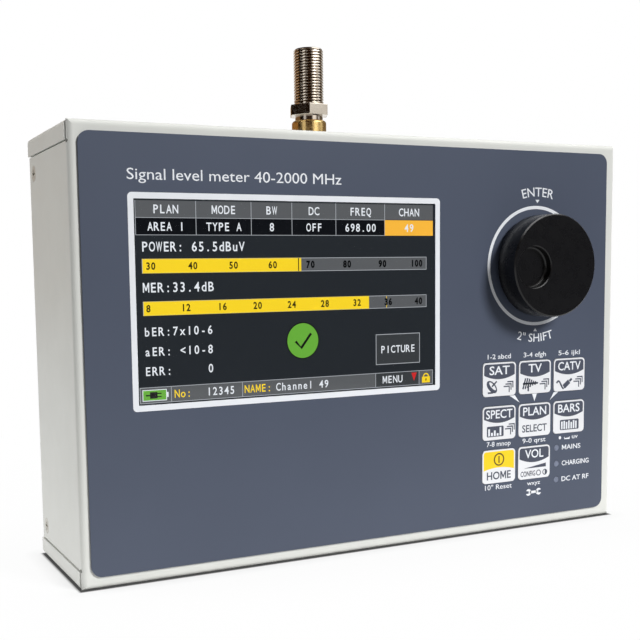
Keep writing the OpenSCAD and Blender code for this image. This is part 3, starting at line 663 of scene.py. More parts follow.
def hexagon(a):
    return HEX_FLAT / math.cos(((a - HEX_TURN) % (math.pi / 3)) - math.pi / 6)


def hexagon_end(a):
    return hexagon(a) - HEX_EDGE


def thread_radius(z):
    """The thread's radius at a height: a flat crest, and a groove with straight flanks."""
    def radius(a):
        along = ((z - THREAD_FOOT) / THREAD_PITCH - a / (2 * math.pi)) % 1.0
        groove = max(0.0, 1 - abs(along - 0.5) / (0.5 - THREAD_CREST / 2))
        ends = min(1.0, (z - THREAD_FOOT) / THREAD_PITCH, (THREAD_TOP - z) / THREAD_END)
        chamfer = THREAD_R - max(0.0, THREAD_CHAMFER - (THREAD_TOP - z))
        return min(chamfer, THREAD_R - THREAD_DEPTH * ends * groove)
    return radius


def groove_shaded():
    """The nickel with a painted brown shade in the thread's grooves, by the distance from the axis.
    """
    mat = FINISH["nickel"].copy()
    mat.name = "nickel_thread"
    tree = mat.node_tree
    shader = tree.nodes["Principled BSDF"]
    unshaded = shader.inputs["Base Color"].links[0].from_socket
    flat = vector_maths(tree, "MULTIPLY", own_space(tree), (1, 1, 0))
    away = vector_maths(tree, "SUBTRACT", flat, (INPUT_X * MM, INPUT_Y * MM, 0))
    crest = ramp(tree, vector_maths(tree, "LENGTH", away),
                 (THREAD_R - THREAD_DEPTH * GROOVE_SHADE_DEEP) * MM,
                 (THREAD_R - THREAD_DEPTH * GROOVE_SHADE_SHALLOW) * MM)
    # Painted shade: the colour runs from the nickel at the crests to the dark brown deep in the
    # grooves
    feed(tree, shader, {"Base Color": mix_colours(tree, crest, GROOVE_SHADE, unshaded)})
    return mat


def adapter():
    loops = [ring_z(SPIGOT_R, COLLAR_TOP - SPIGOT_DEEP), ring_z(SPIGOT_R, COLLAR_TOP),
             ring_z(NECK_R, COLLAR_TOP), ring_z(NECK_R, HEX_LOW),
             ring_z(hexagon_end, HEX_LOW), ring_z(hexagon, HEX_LOW + HEX_EDGE),
             ring_z(hexagon, THREAD_FOOT - HEX_EDGE), ring_z(hexagon_end, THREAD_FOOT)]
    rows = round((THREAD_TOP - THREAD_FOOT) / THREAD_PITCH * THREAD_ROWS)
    for row in range(rows + 1):
        z = THREAD_FOOT + (THREAD_TOP - THREAD_FOOT) * row / rows
        loops.append(ring_z(thread_radius(z), z))
    loops += [ring_z(MOUTH_R, THREAD_TOP), ring_z(MOUTH_R, MOUTH_FLOOR)]
    obj = piece("threaded_adapter", loft(loops), groove_shaded(), "case")
    soften(obj)
    return obj


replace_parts(adapter(), "input_adapter")


# Print on the film: the screen's border, the knob's ring with its words, and the keys' legends

BORDER_W = 102.2
BORDER_H = 60.5
BORDER_R = 1.2
# How far the border stays outside the window's edges in all, and the round of its inner corners
BORDER_GAP = 0.2
BORDER_INNER_R = 0.2
RING_R = 19.7
RING_LINE = 1.05
RING_SIDES = 128
# From the knob's axis: right, up, width and height
POINTERS = ((0.4, 21.7, 1.7, -1.1), (0.0, -21.7, 1.5, 1.0))
# Text, right of the knob's axis, capital height, width, radius of the foot, above (1) or below (-1)
RING_WORDS = (("ENTER", 0.6, 2.9, 12.4, 22.8, 1), ('2" SHIFT', 0.0, 2.7, 15.6, 25.2, -1))
RING_BOLD = 0.004
TITLE = dict(text="Signal level meter 40-2000 MHz", x=-79.45, z=112.9, cap=3.0, width=66.8,
             align=0.0)
# The foot of a legend above or below its key, from the key's middle
OVER = KEY_H / 2 + 1.2
UNDER = -KEY_H / 2 - 2.2
# Text, the key's column and row, right of its middle, foot, capital height, width, boldness
LEGENDS = (
    ("1-2 abcd", 0, 0, 0.0, OVER, 1.55, 9.4, 0.008),
    ("3-4 efgh", 1, 0, 0.0, OVER, 1.55, 9.4, 0.008),
    ("5-6 ijkl", 2, 0, 0.0, OVER, 1.55, 9.4, 0.008),
    ("7-8 mnop", 0, 1, 0.0, UNDER, 1.55, 9.8, 0.008),
    ("9-0 qrst", 1, 1, 0.0, UNDER, 1.55, 9.8, 0.008),
    ("uv", 2, 1, 3.0, UNDER, 1.45, 2.6, 0.008),
    ('10" Reset', 0, 2, 0.0, UNDER, 1.6, 11.0, 0.006),
    ("wxyz", 1, 2, 0.0, UNDER, 1.35, 5.6, 0.008),
)
LAMP_WORDS = (("MAINS", 8.2), ("CHARGING", 12.0), ("DC AT RF", 12.0))
LAMP_RIGHT = 2.3
LAMP_CAP = 1.6
LAMP_BOLD = 0.012
# Wedges from the upper keys down to the centre key: the upper key's column, two corners from its
# middle, and the tip from the centre key's middle
LINKS = ((0, 4.2, 6.5, -6.3), (1, -1.0, 1.0, 0.0), (2, -6.5, -4.6, 6.6))
LINK_TOP = KEY_ROWS[0] - KEY_H / 2 - 0.15
LINK_TIP = KEY_ROWS[1] + KEY_H / 2 + 0.7
SPACE_SIGN_UNDER = 7.0
SPANNER_UNDER = KEY_H / 2 + 4.7
SPANNER_LONG = 6.6
SPANNER_JAW = 1.15
SPANNER_HALF = 0.42
SPANNER_OPEN = 28


def space_sign(ink, x, z):
    """The sign for a space, an open tray, and a full stop."""
    ink.shape(stroke([(x - 1.6, z), (x - 1.6, z - 0.6), (x + 0.6, z - 0.6), (x + 0.6, z)], 0.3))
    ink.shape(circle(x - 3.6, z - 0.1, 0.55, 16))


def spanner(ink, x, z):
    """A double-ended spanner: a bar and two open jaws."""
    reach = SPANNER_LONG / 2 - SPANNER_JAW
    bar = reach - 0.6
    ink.shape(rect(x - bar, z - SPANNER_HALF, x + bar, z + SPANNER_HALF))
    for side, turn in ((-1, 180), (1, 0)):
        cx = x + side * reach
        floor_x = cx - side * 0.15
        jaw = arc(cx, z, SPANNER_JAW, turn + SPANNER_OPEN, turn + 360 - SPANNER_OPEN, 20)
        ink.shape(jaw + [(floor_x, z - side * SPANNER_HALF), (floor_x, z + side * SPANNER_HALF)])


def film_print():
    ink = Print(FILM_FRONT)
    inner_w, inner_h = WINDOW_W + BORDER_GAP, WINDOW_H + BORDER_GAP
    ink.band(rounded(WINDOW_X, WINDOW_Z, BORDER_W, BORDER_H, BORDER_R),
             rounded(WINDOW_X, WINDOW_Z, inner_w, inner_h, BORDER_INNER_R))
    ink.band(circle(KNOB_X, KNOB_Z, RING_R, RING_SIDES),
             circle(KNOB_X, KNOB_Z, RING_R - RING_LINE, RING_SIDES))
    for right, up, width, height in POINTERS:
        x, z = KNOB_X + right, KNOB_Z + up
        ink.shape([(x - width / 2, z), (x + width / 2, z), (x, z + height)])
    for text, right, cap, width, radius, sense in RING_WORDS:
        ink.words(text, KNOB_X + right, KNOB_Z, cap, width, bold=RING_BOLD, bend=(radius, sense))
    ink.words(**TITLE)
    for text, column, row, right, foot, cap, width, bold in LEGENDS:
        ink.words(text, KEY_COLUMNS[column] + right, KEY_ROWS[row] + foot, cap, width, bold=bold)
    for z, (text, width) in zip(LAMP_ROWS, LAMP_WORDS):
        ink.words(text, LAMP_X + LAMP_RIGHT, z - LAMP_CAP / 2, LAMP_CAP, width, align=0.0,
                  bold=LAMP_BOLD)
    for column, first, second, tip in LINKS:
        x = KEY_COLUMNS[column]
        ink.shape([(x + first, LINK_TOP), (x + second, LINK_TOP), (KEY_COLUMNS[1] + tip, LINK_TIP)])
    space_sign(ink, KEY_COLUMNS[2], KEY_ROWS[1] - SPACE_SIGN_UNDER)
    spanner(ink, KEY_COLUMNS[1], KEY_ROWS[2] - SPANNER_UNDER)
    ink.make("film_print", FINISH["white_ink"], "case", "key_white")


film_print()


# Key faces: a printed cap on each white pad, with a word, and a plain sign or word below it

CAP_EDGE = 0.5
CAP_R = 0.9
CAP_CORNER_STEPS = 5
CAP_BOW_STEPS = 20
# How high the cap's lower edge is at its ends and in its middle, from the key's middle
CAP_FOOT = (1.45, 0.05)
POWER_FOOT = (-1.25, -0.35)
CAPTION_FOOT = 1.6
CAPTION_CAP = 2.75
CAPTION_BOLD = 0.012
POWER_UP = 2.3
# The key's column and row, its caption and the caption's width
KEYS = {
    "top_left": (0, 0, "SAT", 8.2),
    "top_middle": (1, 0, "TV", 5.6),
    "top_right": (2, 0, "CATV", 9.8),
    "middle_left": (0, 1, "SPECT", 10.8),
    "centre": (1, 1, "PLAN", 9.8),
    "middle_right": (2, 1, "BARS", 9.4),
    "power": (0, 2, None, None),
    "volume": (1, 2, "VOL", 7.8),
}
# Text, right of the key's middle, foot, capital height, width
LOWER_WORDS = {
    "centre": ("SELECT", 0.0, -4.0, 2.35, 10.4),
    "power": ("HOME", 0.0, -4.3, 2.5, 9.8),
    "volume": ("CONFIG", -2.6, -4.6, 1.7, 6.2),
}
LOWER_BOLD = 0.014
SIGN_UP = -2.75
# Right of the key's middle, width and the heights of the bars as shares
CHARTS = {
    "middle_left": (-1.6, 6.8, (0.85, 0.4, 0.65, 0.3, 1.0)),
    "middle_right": (0.3, 8.2, (0.95, 1.0, 0.85, 1.0, 0.8, 1.0, 0.9)),
}
CHART_H = 3.5
CHART_R = 0.4
CHART_EDGE = 0.5
CHART_FOOT = -1.45
CHART_BAR_H = 2.8
CHART_BAR_SHARE = 0.62
# Right and up from the key's middle
PAGES = {"top_left": (3.2, SIGN_UP), "top_middle": (3.5, SIGN_UP), "top_right": (3.4, SIGN_UP),
         "middle_left": (3.9, SIGN_UP + 0.3)}
PAGES_STEP = 0.75
PAGES_LINE = 0.38
SLOT_OF_INK = {"yellow_ink": "key_yellow", "brown_ink": "overlay_film", "slate_ink": "overlay_film",
               "white_ink": "key_white"}


def cap_outline(x, z, side, middle):
    """The upper field of a key: round corners above, a bowed edge below."""
    half = KEY_W / 2 - CAP_EDGE
    top = KEY_H / 2 - CAP_EDGE
    ways = [2 * i / CAP_BOW_STEPS - 1 for i in range(CAP_BOW_STEPS + 1)]
    foot = [(x + half * t, z + side + (middle - side) * (1 - t * t)) for t in ways]
    right = arc(x + half - CAP_R, z + top - CAP_R, CAP_R, 0, 90, CAP_CORNER_STEPS)
    left = arc(x - half + CAP_R, z + top - CAP_R, CAP_R, 90, 180, CAP_CORNER_STEPS)
    return foot + right + left


def power_sign(ink, x, z):
    ink.band(circle(x, z, 2.15), circle(x, z, 1.68))
    ink.shape(rect(x - 0.25, z - 1.2, x + 0.25, z + 1.1))


def pages(ink, x, z):
    """Three nested corners, the sign for pages that follow."""
    for i in range(3):
        u, w = x + i * PAGES_STEP, z + (i - 1) * PAGES_STEP
        ink.shape(stroke([(u - 1.5, w + 1.0), (u + 0.8, w + 1.0), (u + 0.8, w - 1.0)], PAGES_LINE))


def dish(ink, x, z):
    ink.band(leaning(x - 0.2, z, 2.6, 1.45, -45), leaning(x + 0.1, z + 0.25, 1.85, 0.62, -45))
    ink.shape(stroke([(x - 0.2, z + 0.1), (x + 1.8, z + 1.8)], 0.5))
    ink.shape(rect(x - 1.8, z - 2.2, x + 0.3, z - 1.65))


def aerial(ink, x, z):
    ink.shape(rect(x - 2.8, z + 0.2, x + 3.5, z + 0.8))
    for i, half in enumerate((1.8, 1.8, 1.6, 1.2, 0.8, 0.6)):
        rod, lean = x - 2.3 + i * 0.92, half * 0.3
        ink.shape(stroke([(rod - lean, z + 0.5 - half), (rod + lean, z + 0.5 + half)], 0.56))
    ink.shape(rect(x - 0.9, z - 2.1, x - 0.3, z + 0.4))


def cable(ink, x, z):
    wave = [(x - 3.3 + i * 0.32, z - 0.6 + 1.35 * math.sin(i * 0.44 + 0.5)) for i in range(11)]
    ink.shape(stroke(wave, 0.55))
    ink.shape(stroke([(x - 0.2, z - 1.4), (x + 2.2, z + 0.4)], 1.6))
    ink.shape(stroke([(x + 2.3, z + 0.48), (x + 3.3, z + 1.2)], 0.8))


def loudness(ink, x, z):
    """A wedge that rises to the right, and below it a ring and a half-filled ring."""
    ink.shape([(x - 4.3, z + 1.85), (x + 5.0, z + 1.85), (x + 5.0, z + 3.15)])
    for right in (1.9, 4.6):
        ink.band(circle(x + right, z, 1.0, 24), circle(x + right, z, 0.72, 24))
    ink.shape(arc(x + 4.6, z, 0.74, -90, 90, 12))


def chart(dark, pale, x, z, width, heights):
    """A dark field with pale bars."""
    dark.shape(rounded(x, z, width, CHART_H, CHART_R, 4))
    step = (width - 2 * CHART_EDGE) / len(heights)
    foot = z + CHART_FOOT
    for i, height in enumerate(heights):
        left = x - width / 2 + CHART_EDGE + i * step
        pale.shape(rect(left, foot, left + step * CHART_BAR_SHARE, foot + height * CHART_BAR_H))


# What is drawn, right and up from the key's middle
SIGNS = {
    "top_left": (dish, -2.9, -2.4),
    "top_middle": (aerial, -2.2, -2.6),
    "top_right": (cable, -2.2, SIGN_UP),
    "volume": (loudness, 0.0, -3.75),
}


def key_face(name):
    column, row, caption, width = KEYS[name]
    x, z = KEY_COLUMNS[column], KEY_ROWS[row]
    cap, word, dark, pale = (Print(KEY_FRONT - INK * level) for level in (0, 1, 0, 1))
    if caption:
        upper, sign = "slate_ink", "white_ink"
        cap.shape(cap_outline(x, z, *CAP_FOOT))
        word.words(caption, x, z + CAPTION_FOOT, CAPTION_CAP, width, bold=CAPTION_BOLD)
    else:
        upper, sign = "yellow_ink", "brown_ink"
        cap.shape(cap_outline(x, z, *POWER_FOOT))
        power_sign(word, x, z + POWER_UP)
    if name in SIGNS:
        draw, right, up = SIGNS[name]
        draw(dark, x + right, z + up)
    if name in CHARTS:
        right, wide, heights = CHARTS[name]
        chart(dark, pale, x + right, z + SIGN_UP, wide, heights)
    if name in PAGES:
        right, up = PAGES[name]
        pages(dark, x + right, z + up)
    if name in LOWER_WORDS:
        text, right, foot, height, wide = LOWER_WORDS[name]
        dark.words(text, x + right, z + foot, height, wide, bold=LOWER_BOLD)
    body = "key_" + name
    cap.make("face_" + name, FINISH[upper], body, SLOT_OF_INK[upper])
    word.make("word_" + name, FINISH[sign], body, SLOT_OF_INK[sign])
    dark.make("sign_" + name, FINISH["slate_ink"], body, SLOT_OF_INK["slate_ink"])
    if pale.bm.faces:
        pale.make("bars_" + name, FINISH["white_ink"], body, SLOT_OF_INK["white_ink"])


for name in KEYS:
    key_face(name)


# The screen's picture, in millimetres from the window's upper left corner, right and down

LAYER = 0.012
# By the layer: how many layers lie below it, and its colour on a screen
LAYERS = {
    "back": (0, (37, 41, 45)),
    "head": (1, (91, 93, 95)),
    "cell": (1, (14, 16, 20)),
    "button": (1, (58, 61, 63)),
    "line": (2, (168, 172, 176)),
    "bar": (2, (252, 214, 40)),
    "orange": (2, (250, 184, 62)),
    "green": (2, (104, 172, 60)),
    "text": (3, (232, 236, 240)),
    "dark": (3, (24, 24, 21)),
    "black": (3, (5, 5, 6)),
    "olive": (3, (54, 48, 16)),
    "red": (3, (205, 44, 44)),
}
# How far the picture runs on under the film
BACK_LAP = 0.1
LINE = 0.18
# The table at the top
COLUMNS = (0.45, 18.35, 35.45, 48.6, 63.35, 80.5, 98.2)
HEADS = ("PLAN", "MODE", "BW", "DC", "FREQ", "CHAN")
VALUES = ("AREA 1", "TYPE A", "8", "OFF", "698.00", "49")
HEAD_ROW = (0.3, 4.95)
VALUE_ROW = (5.1, 9.8)
CELL_GAP = 0.02
HEAD_V = 2.65
HEAD_STEP = 1.93
VALUE_V = 7.45
VALUE_STEP = 1.86
TABLE_CAP = 2.3
# The line at the table's left, and the one below it
TABLE_LEFT_LINE = 0.15
TABLE_FOOT_LINE = (9.7, 9.85)
# The two bars: top, foot, end of the filled part, middle height of the numbers, the first number
# and what the next ones add, how many there are, the place of the first and their distance
BARS_LEFT = 2.05
BARS_RIGHT = 95.8
GAUGES = (
    (16.35, 20.35, 51.5, 18.35, 30, 10, 8, 4.6, 12.5),
    (28.15, 32.1, 74.75, 30.1, 8, 4, 9, 3.6, 11.15),
)
NUMBER_CAP = 1.9
NUMBER_STEP = 1.5
# Layer and boldness of a number on a bar's filled or empty part
NUMBER_FILLED = ("olive", 0.03)
NUMBER_EMPTY = ("black", 0.05)
# The round sign with its tick
TICK_AT = (51.75, 40.95)
TICK_DISC_R = 5.3
TICK_RIM = (5.55, 5.2)
TICK = ((49.3, 41.1), (51.2, 43.1), (54.5, 38.9))
TICK_LINE = 0.75
BUTTON = (77.1, 40.1, 93.3, 49.6)
BUTTON_LINE = 0.22
BUTTON_WORD = ("text", "PICTURE", 85.2, 44.9, 2.2, 1.83)
# The row at the foot
STATUS_ROW = (52.1, 56.65)
STATUS_FIELDS = (("head", 0.45, 76.9), ("button", 77.1, 92.9), ("head", 93.1, 98.2))
STATUS_LINES = (9.75, 31.75, 77.0, 93.0)
STATUS_V = 54.35
BATTERY = (1.2, 52.8, 8.4, 56.0)
BATTERY_LINE = 0.2
MENU_SIGN = ((90.1, 52.7), (91.1, 55.3), (92.1, 52.7))
LOCK_BOW = (95.6, 54.2, 0.95)
LOCK_LINE = 0.4
# Layer, left, top, right, foot: a mark on each bar, the battery's end, fill and plug, and the lock
PATCHES = (
    ("dark", 50.45, 16.45, 50.75, 20.25), ("bar", 80.95, 28.4, 81.15, 31.9),
    ("text", 8.4, 53.7, 8.9, 55.1), ("green", 1.4, 53.0, 8.2, 55.8),
    ("dark", 3.4, 53.5, 5.6, 55.3), ("dark", 2.2, 54.2, 3.4, 54.6),
    ("dark", 5.6, 53.8, 6.8, 54.1), ("dark", 5.6, 54.7, 6.8, 55.0),
    ("bar", 94.1, 54.2, 97.1, 56.1), ("dark", 95.4, 54.7, 95.8, 55.5),
)
# Layer, text, left, middle height, capital height, step
SCREEN_WORDS = (
    ("text", "POWER: 65.5dBuV", 2.0, 13.0, 2.6, 2.09),
    ("text", "MER:33.4dB", 2.0, 24.3, 2.6, 2.16),
    ("text", "bER:7x10-6", 2.0, 36.6, 2.35, 2.1),
    ("text", "aER: <10-8", 2.0, 42.15, 2.35, 2.1),
    ("text", "ERR:     0", 2.0, 47.65, 2.35, 2.1),
    ("bar", "No:", 10.6, STATUS_V, 2.2, 1.8),
    ("text", "12345", 20.4, STATUS_V, 2.2, 1.8),
    ("bar", "NAME:", 32.3, STATUS_V, 2.2, 1.8),
    ("text", "Channel 49", 42.5, STATUS_V, 2.2, 1.8),
    ("text", "MENU", 79.4, STATUS_V, 2.2, 1.88),
)


class Screen:
    """The picture's layers, each a print of its own."""

    def __init__(self):
        self.layers = {name: Print(GLASS_FRONT - LAYER * level, LAYER)
                       for name, (level, _) in LAYERS.items()}
        self.left = WINDOW_X - WINDOW_W / 2
        self.top = WINDOW_Z + WINDOW_H / 2

    def at(self, points):
        return [(self.left + u, self.top - v) for u, v in points]

    def shape(self, layer, points):
        self.layers[layer].shape(self.at(points))

    def area(self, layer, u0, v0, u1, v1):
        self.shape(layer, rect(u0, v1, u1, v0))

    def upright(self, u, v0, v1):
        self.area("line", u - LINE / 2, v0, u + LINE / 2, v1)

    def border(self, layer, u0, v0, u1, v1, line):
        self.layers[layer].frame(self.left + u0, self.top - v1, self.left + u1, self.top - v0, line)

    def write(self, layer, text, u, v, cap, step, bold=TYPE_BOLD):
        """Words from u on, with their middle height at v."""
        foot = self.top - v - cap / 2
        self.layers[layer].screen_words(text, self.left + u, foot, cap, step, bold)

    def write_mid(self, layer, text, u, v, cap, step, bold=TYPE_BOLD):
        self.write(layer, text, u - len(text) * step / 2, v, cap, step, bold)

    def table(self):
        for i, (head, value) in enumerate(zip(HEADS, VALUES)):
            start, end = COLUMNS[i], COLUMNS[i + 1]
            u0, u1, middle = start + CELL_GAP, end - CELL_GAP, (start + end) / 2
            last = i == len(HEADS) - 1
            self.area("head", u0, HEAD_ROW[0], u1, HEAD_ROW[1])
            self.area("orange" if last else "cell", u0, VALUE_ROW[0], u1, VALUE_ROW[1])
            self.write_mid("text", head, middle, HEAD_V, TABLE_CAP, HEAD_STEP)
            self.write_mid("text", value, middle, VALUE_V, TABLE_CAP, VALUE_STEP)
            if not last:
                self.upright(end, HEAD_ROW[0], VALUE_ROW[1])
        left, right = COLUMNS[0], COLUMNS[-2]
        self.area("line", left, HEAD_ROW[1], right, VALUE_ROW[0])
        self.area("line", left, TABLE_FOOT_LINE[0], right, TABLE_FOOT_LINE[1])
        self.area("line", left, HEAD_ROW[0], left + TABLE_LEFT_LINE, VALUE_ROW[1])

    def gauge(self, top, foot, end, middle, first, more, count, start, step):
        self.area("head", BARS_LEFT, top, BARS_RIGHT, foot)
        self.border("line", BARS_LEFT, top, BARS_RIGHT, foot, LINE)
        self.area("bar", BARS_LEFT, top, end, foot)
        for i in range(count):
            u = start + step * i
            layer, bold = NUMBER_FILLED if u < end else NUMBER_EMPTY
            self.write_mid(layer, str(first + more * i), u, middle, NUMBER_CAP, NUMBER_STEP, bold)

    def tick(self):
        rims = [self.at(circle(*TICK_AT, radius)) for radius in TICK_RIM]
        self.layers["dark"].band(*rims)
        self.shape("green", circle(*TICK_AT, TICK_DISC_R))
        self.shape("dark", stroke(TICK, TICK_LINE))

    def button(self):
        self.area("button", *BUTTON)
        self.border("line", *BUTTON, BUTTON_LINE)
        self.write_mid(*BUTTON_WORD)

    def status(self):
        top, foot = STATUS_ROW
        for layer, u0, u1 in STATUS_FIELDS:
            self.area(layer, u0, top, u1, foot)
        self.border("line", STATUS_FIELDS[0][1], top, STATUS_FIELDS[-1][2], foot, LINE)
        for u in STATUS_LINES:
            self.upright(u, top, foot)
        self.border("text", *BATTERY, BATTERY_LINE)
        self.shape("red", MENU_SIGN)
        self.shape("bar", stroke(arc(*LOCK_BOW, 0, -180, 12), LOCK_LINE))

    def make(self):
        self.area("back", -BACK_LAP, -BACK_LAP, WINDOW_W + BACK_LAP, WINDOW_H + BACK_LAP)
        self.table()
        for values in GAUGES:
            self.gauge(*values)
        self.tick()
        self.button()
        self.status()
        for values in PATCHES:
            self.area(*values)
        for values in SCREEN_WORDS:
            self.write(*values)
        for name, ink in self.layers.items():
            glow = lit("glow_" + name, srgb(*LAYERS[name][1]))
            ink.make("screen_" + name, glow, "case", "screen_black")


Screen().make()


# Floor, cards and lamps of the set, and the camera

# By the distance from the case's foot: how much of the floor's white is its own, for what sees it
# directly and for the light that it throws on the object, that light's level, and the paper's tone,
# with a painted shadow that makes it dark in the narrow gap below the case's edge
FLOOR_SEEN = ((0.0, 0.05), (0.0002, 0.2), (0.0007, 0.7), (0.006, 0.94), (0.05, 0.98), (0.25, 1.0))
FLOOR_THROWN = ((0.0, 0.0), (0.0015, 0.3), (0.006, 1.0), (0.25, 1.0))
FLOOR_LEVEL = ((0.0, 1.0), (0.06, 1.0), (0.13, 0.2), (0.25, 0.12))
# Painted shadow: the paper's tone drops nearly to black within a millimetre of the case's foot
FLOOR_TONE_AND_PAINTED_SHADOW = ((0.0, 0.05), (0.0002, 0.12), (0.0006, 0.88), (0.25, 0.88))
FLOOR_REACH = 3.0
FLOOR_DROP = 0.0001
# What the world throws on the object
SOFT = 0.06

WARM = (0.32, 0.18, 0.075)
DIM = (0.05, 0.027, 0.015)
DARK = (0.012, 0.007, 0.004)
GREY = (0.2, 0.16, 0.12)
PALE = (0.8, 0.79, 0.77)
SHADE = (0.14, 0.14, 0.15)
SHINE = (2.6, 2.6, 2.6)
BAND = (2.0, 1.95, 1.85)
GLARE = (7.0, 7.0, 7.0)

CARD_WAY = 1.4
CARD_TOP = 1.9
CARD_STEPS = 24
CEILING_SIDES = 48
# Name, compass angles of both ends, tone, and where it isn't plain its distance, foot and top
CARDS = (
    ("card_left", 62, 163, WARM),
    ("card_side", 163, 198, DARK),
    ("card_front", 217, 271, DIM),
    ("card_pale", 304, 312, PALE),
    ("card_right", 312, 325, GREY),
    ("card_behind", 343, 422, GREY),
    ("kerb", 272, 345, SHADE, 0.5, 0.0, 0.175),
    ("card_high", 0, 360, DIM, CARD_WAY - 0.05, 0.75, CARD_TOP),
    ("card_shine", 300, 400, SHINE, 0.5, 0.5, 1.6),
    ("card_spark", 178, 194, SHINE, 0.5, 0.5, 1.6),
    ("card_band", 274, 302, BAND, 1.0, 0.27, 0.75),
)
# The small card close above the front: the middles of its two ends, and its half width
GLARE_ENDS = ((0.088, -0.052, 0.188), (0.014, -0.087, 0.174))
GLARE_ACROSS = (0.0, 0.0125, 0.0066)
# Name, place, aim, width, height and watts
LAMPS = (
    ("lamp_top", (0.0, 0.12, 1.0), (0.0, 0.12, 0.0), 0.9, 0.28, 3.5),
    ("lamp_front", (0.61, -1.17, 0.89), (0.0, 0.0, 0.07), 0.4, 0.4, 22.5),
    ("lamp_left", (-0.9, 0.35, 0.45), (0.0, 0.0, 0.06), 0.6, 0.6, 4.8),
    ("lamp_back", (0.4, 1.3, 0.55), (0.0, 0.0, 0.06), 0.8, 0.8, 8.0),
)

SENSOR = 36
LENS = 57.63
SHIFT = (0.0827, 0.0904)
CLIP_START = 0.01
CAMERA_AT = (-0.16607, -0.29456, 0.08612)
CAMERA_TURN = (84.3115, 0.8943, -25.3248)


def seen_directly(tree):
    """1 for the camera, for reflections and for what shows through glass."""
    path = add_node(tree, "LightPath", {}).outputs
    seen = maths(tree, "MAXIMUM", path["Is Camera Ray"], path["Is Glossy Ray"])
    return maths(tree, "MAXIMUM", seen, path["Is Transmission Ray"])


def stops_curve(tree, source, stops):
    """A value that runs straight between the given stops."""
    reach = stops[-1][0]
    node = add_node(tree, "FloatCurve", {"Value": maths(tree, "DIVIDE", source, reach)})
    points = node.mapping.curves[0].points
    for place, value in stops[1:-1]:
        points.new(place / reach, value)
    points[0].location = (0, stops[0][1])
    points[-1].location = (1, stops[-1][1])
    for point in points:
        point.handle_type = "VECTOR"
    node.mapping.extend = "HORIZONTAL"
    node.mapping.update()
    return node.outputs["Value"]


def floor():
    """White paper: it keeps the shadow at the case's foot, deepened there by a painted shadow in
    the paper's tone, and is seen pure white further off.
    """
    bm = bmesh.new()
    bmesh.ops.create_grid(bm, x_segments=1, y_segments=1, size=FLOOR_REACH)
    obj = show_shape("floor", bm)
    obj.location.z = -FLOOR_DROP
    mat, tree, shader = new_material("floor_white")
    tree.nodes.remove(shader)
    beside = vector_maths(tree, "ABSOLUTE", own_space(tree))
    beside = vector_maths(tree, "SUBTRACT", beside, (CASE_W / 2 * MM, CASE_D / 2 * MM, 0))
    beside = vector_maths(tree, "MAXIMUM", beside, (0, 0, 0))
    far = vector_maths(tree, "LENGTH", beside)
    seen = seen_directly(tree)
    share = add_node(tree, "Mix", {"Factor": seen, "A": stops_curve(tree, far, FLOOR_THROWN),
                                   "B": stops_curve(tree, far, FLOOR_SEEN)})
    level = add_node(tree, "Mix", {"Factor": seen, "A": stops_curve(tree, far, FLOOR_LEVEL),
                                   "B": 1.0})
    # The paper's colour carries the painted shadow at the case's foot
    paper = add_node(tree, "BsdfDiffuse", {"Color": stops_curve(tree, far, FLOOR_TONE_AND_PAINTED_SHADOW)})
    glow = add_node(tree, "Emission", {"Strength": level.outputs["Result"]})
    both = add_node(tree, "MixShader", {"Fac": share.outputs["Result"], 1: paper.outputs["BSDF"],
                                        2: glow.outputs["Emission"]})
    feed(tree, tree.nodes["Material Output"], {"Surface": both.outputs["Shader"]})
    obj.data.materials.append(mat)


def world():
    """White where it is seen, also in reflections, and an even soft light on the object."""
    sky = bpy.data.worlds.new("studio")
    bpy.context.scene.world = sky
    sky.use_nodes = True
    tree = sky.node_tree
    light = mix_colours(tree, seen_directly(tree), (SOFT, SOFT, SOFT, 1.0), (1.0, 1.0, 1.0, 1.0))
    feed(tree, tree.nodes["Background"], {"Color": light})


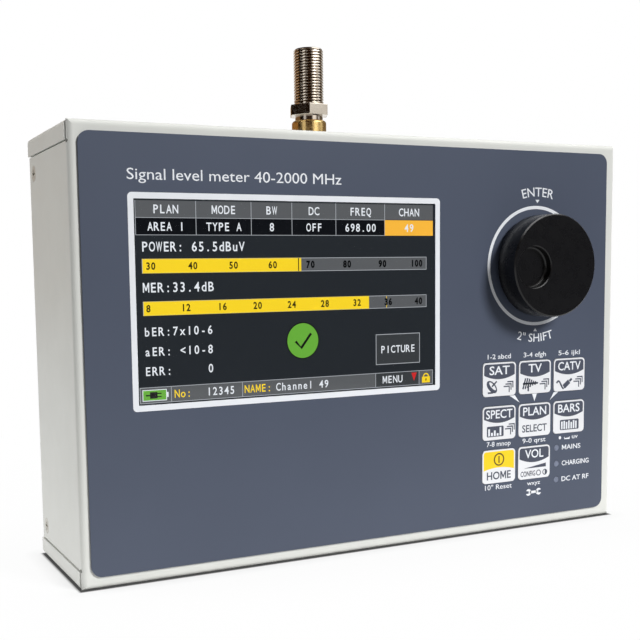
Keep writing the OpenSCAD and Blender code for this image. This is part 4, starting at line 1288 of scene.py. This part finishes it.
def backdrop(name, bm, colour):
    """A sheet of one even tone round the set that only reflections show."""
    obj = show_shape(name, bm)
    mat, tree, shader = new_material(name)
    tree.nodes.remove(shader)
    glow = add_node(tree, "Emission", {"Color": colour + (1.0,)})
    feed(tree, tree.nodes["Material Output"], {"Surface": glow.outputs["Emission"]})
    obj.data.materials.append(mat)
    obj.visible_camera = False
    obj.visible_diffuse = False
    obj.visible_shadow = False


def card(name, start, end, colour, way=CARD_WAY, low=0.0, top=CARD_TOP):
    """A curved card between two compass angles."""
    bm = bmesh.new()
    rows = []
    for x, y in arc(0, 0, way, start, end, CARD_STEPS):
        rows.append([bm.verts.new((x, y, z)) for z in (low, top)])
    for one, two in zip(rows, rows[1:]):
        bm.faces.new((one[0], two[0], two[1], one[1]))
    backdrop(name, bm, colour)


def ceiling():
    bm = bmesh.new()
    bmesh.ops.create_circle(bm, cap_ends=True, segments=CEILING_SIDES, radius=CARD_WAY)
    bmesh.ops.translate(bm, verts=bm.verts, vec=(0, 0, CARD_TOP))
    backdrop("ceiling", bm, DIM)


def glare():
    bm = bmesh.new()
    first, second, across = Vector(GLARE_ENDS[0]), Vector(GLARE_ENDS[1]), Vector(GLARE_ACROSS)
    corners = (first - across, second - across, second + across, first + across)
    bm.faces.new([bm.verts.new(corner) for corner in corners])
    backdrop("card_glare", bm, GLARE)


def lamp(name, place, aim, width, height, power):
    """A soft lamp that no reflection shows."""
    data = bpy.data.lights.new(name, "AREA")
    data.shape = "RECTANGLE"
    data.size = width
    data.size_y = height
    data.energy = power
    obj = show(name, data)
    obj.location = place
    obj.rotation_euler = (Vector(aim) - Vector(place)).to_track_quat("-Z", "Y").to_euler()
    obj.visible_camera = False
    obj.visible_glossy = False


def camera():
    data = bpy.data.cameras.new("camera")
    data.sensor_width = SENSOR
    data.lens = LENS
    data.shift_x, data.shift_y = SHIFT
    data.clip_start = CLIP_START
    obj = show("camera", data)
    obj.location = CAMERA_AT
    obj.rotation_euler = [math.radians(a) for a in CAMERA_TURN]
    bpy.context.scene.camera = obj


floor()
world()
for values in CARDS:
    card(*values)
ceiling()
glare()
for values in LAMPS:
    lamp(*values)
camera()
bpy.context.scene.view_settings.view_transform = "Standard"
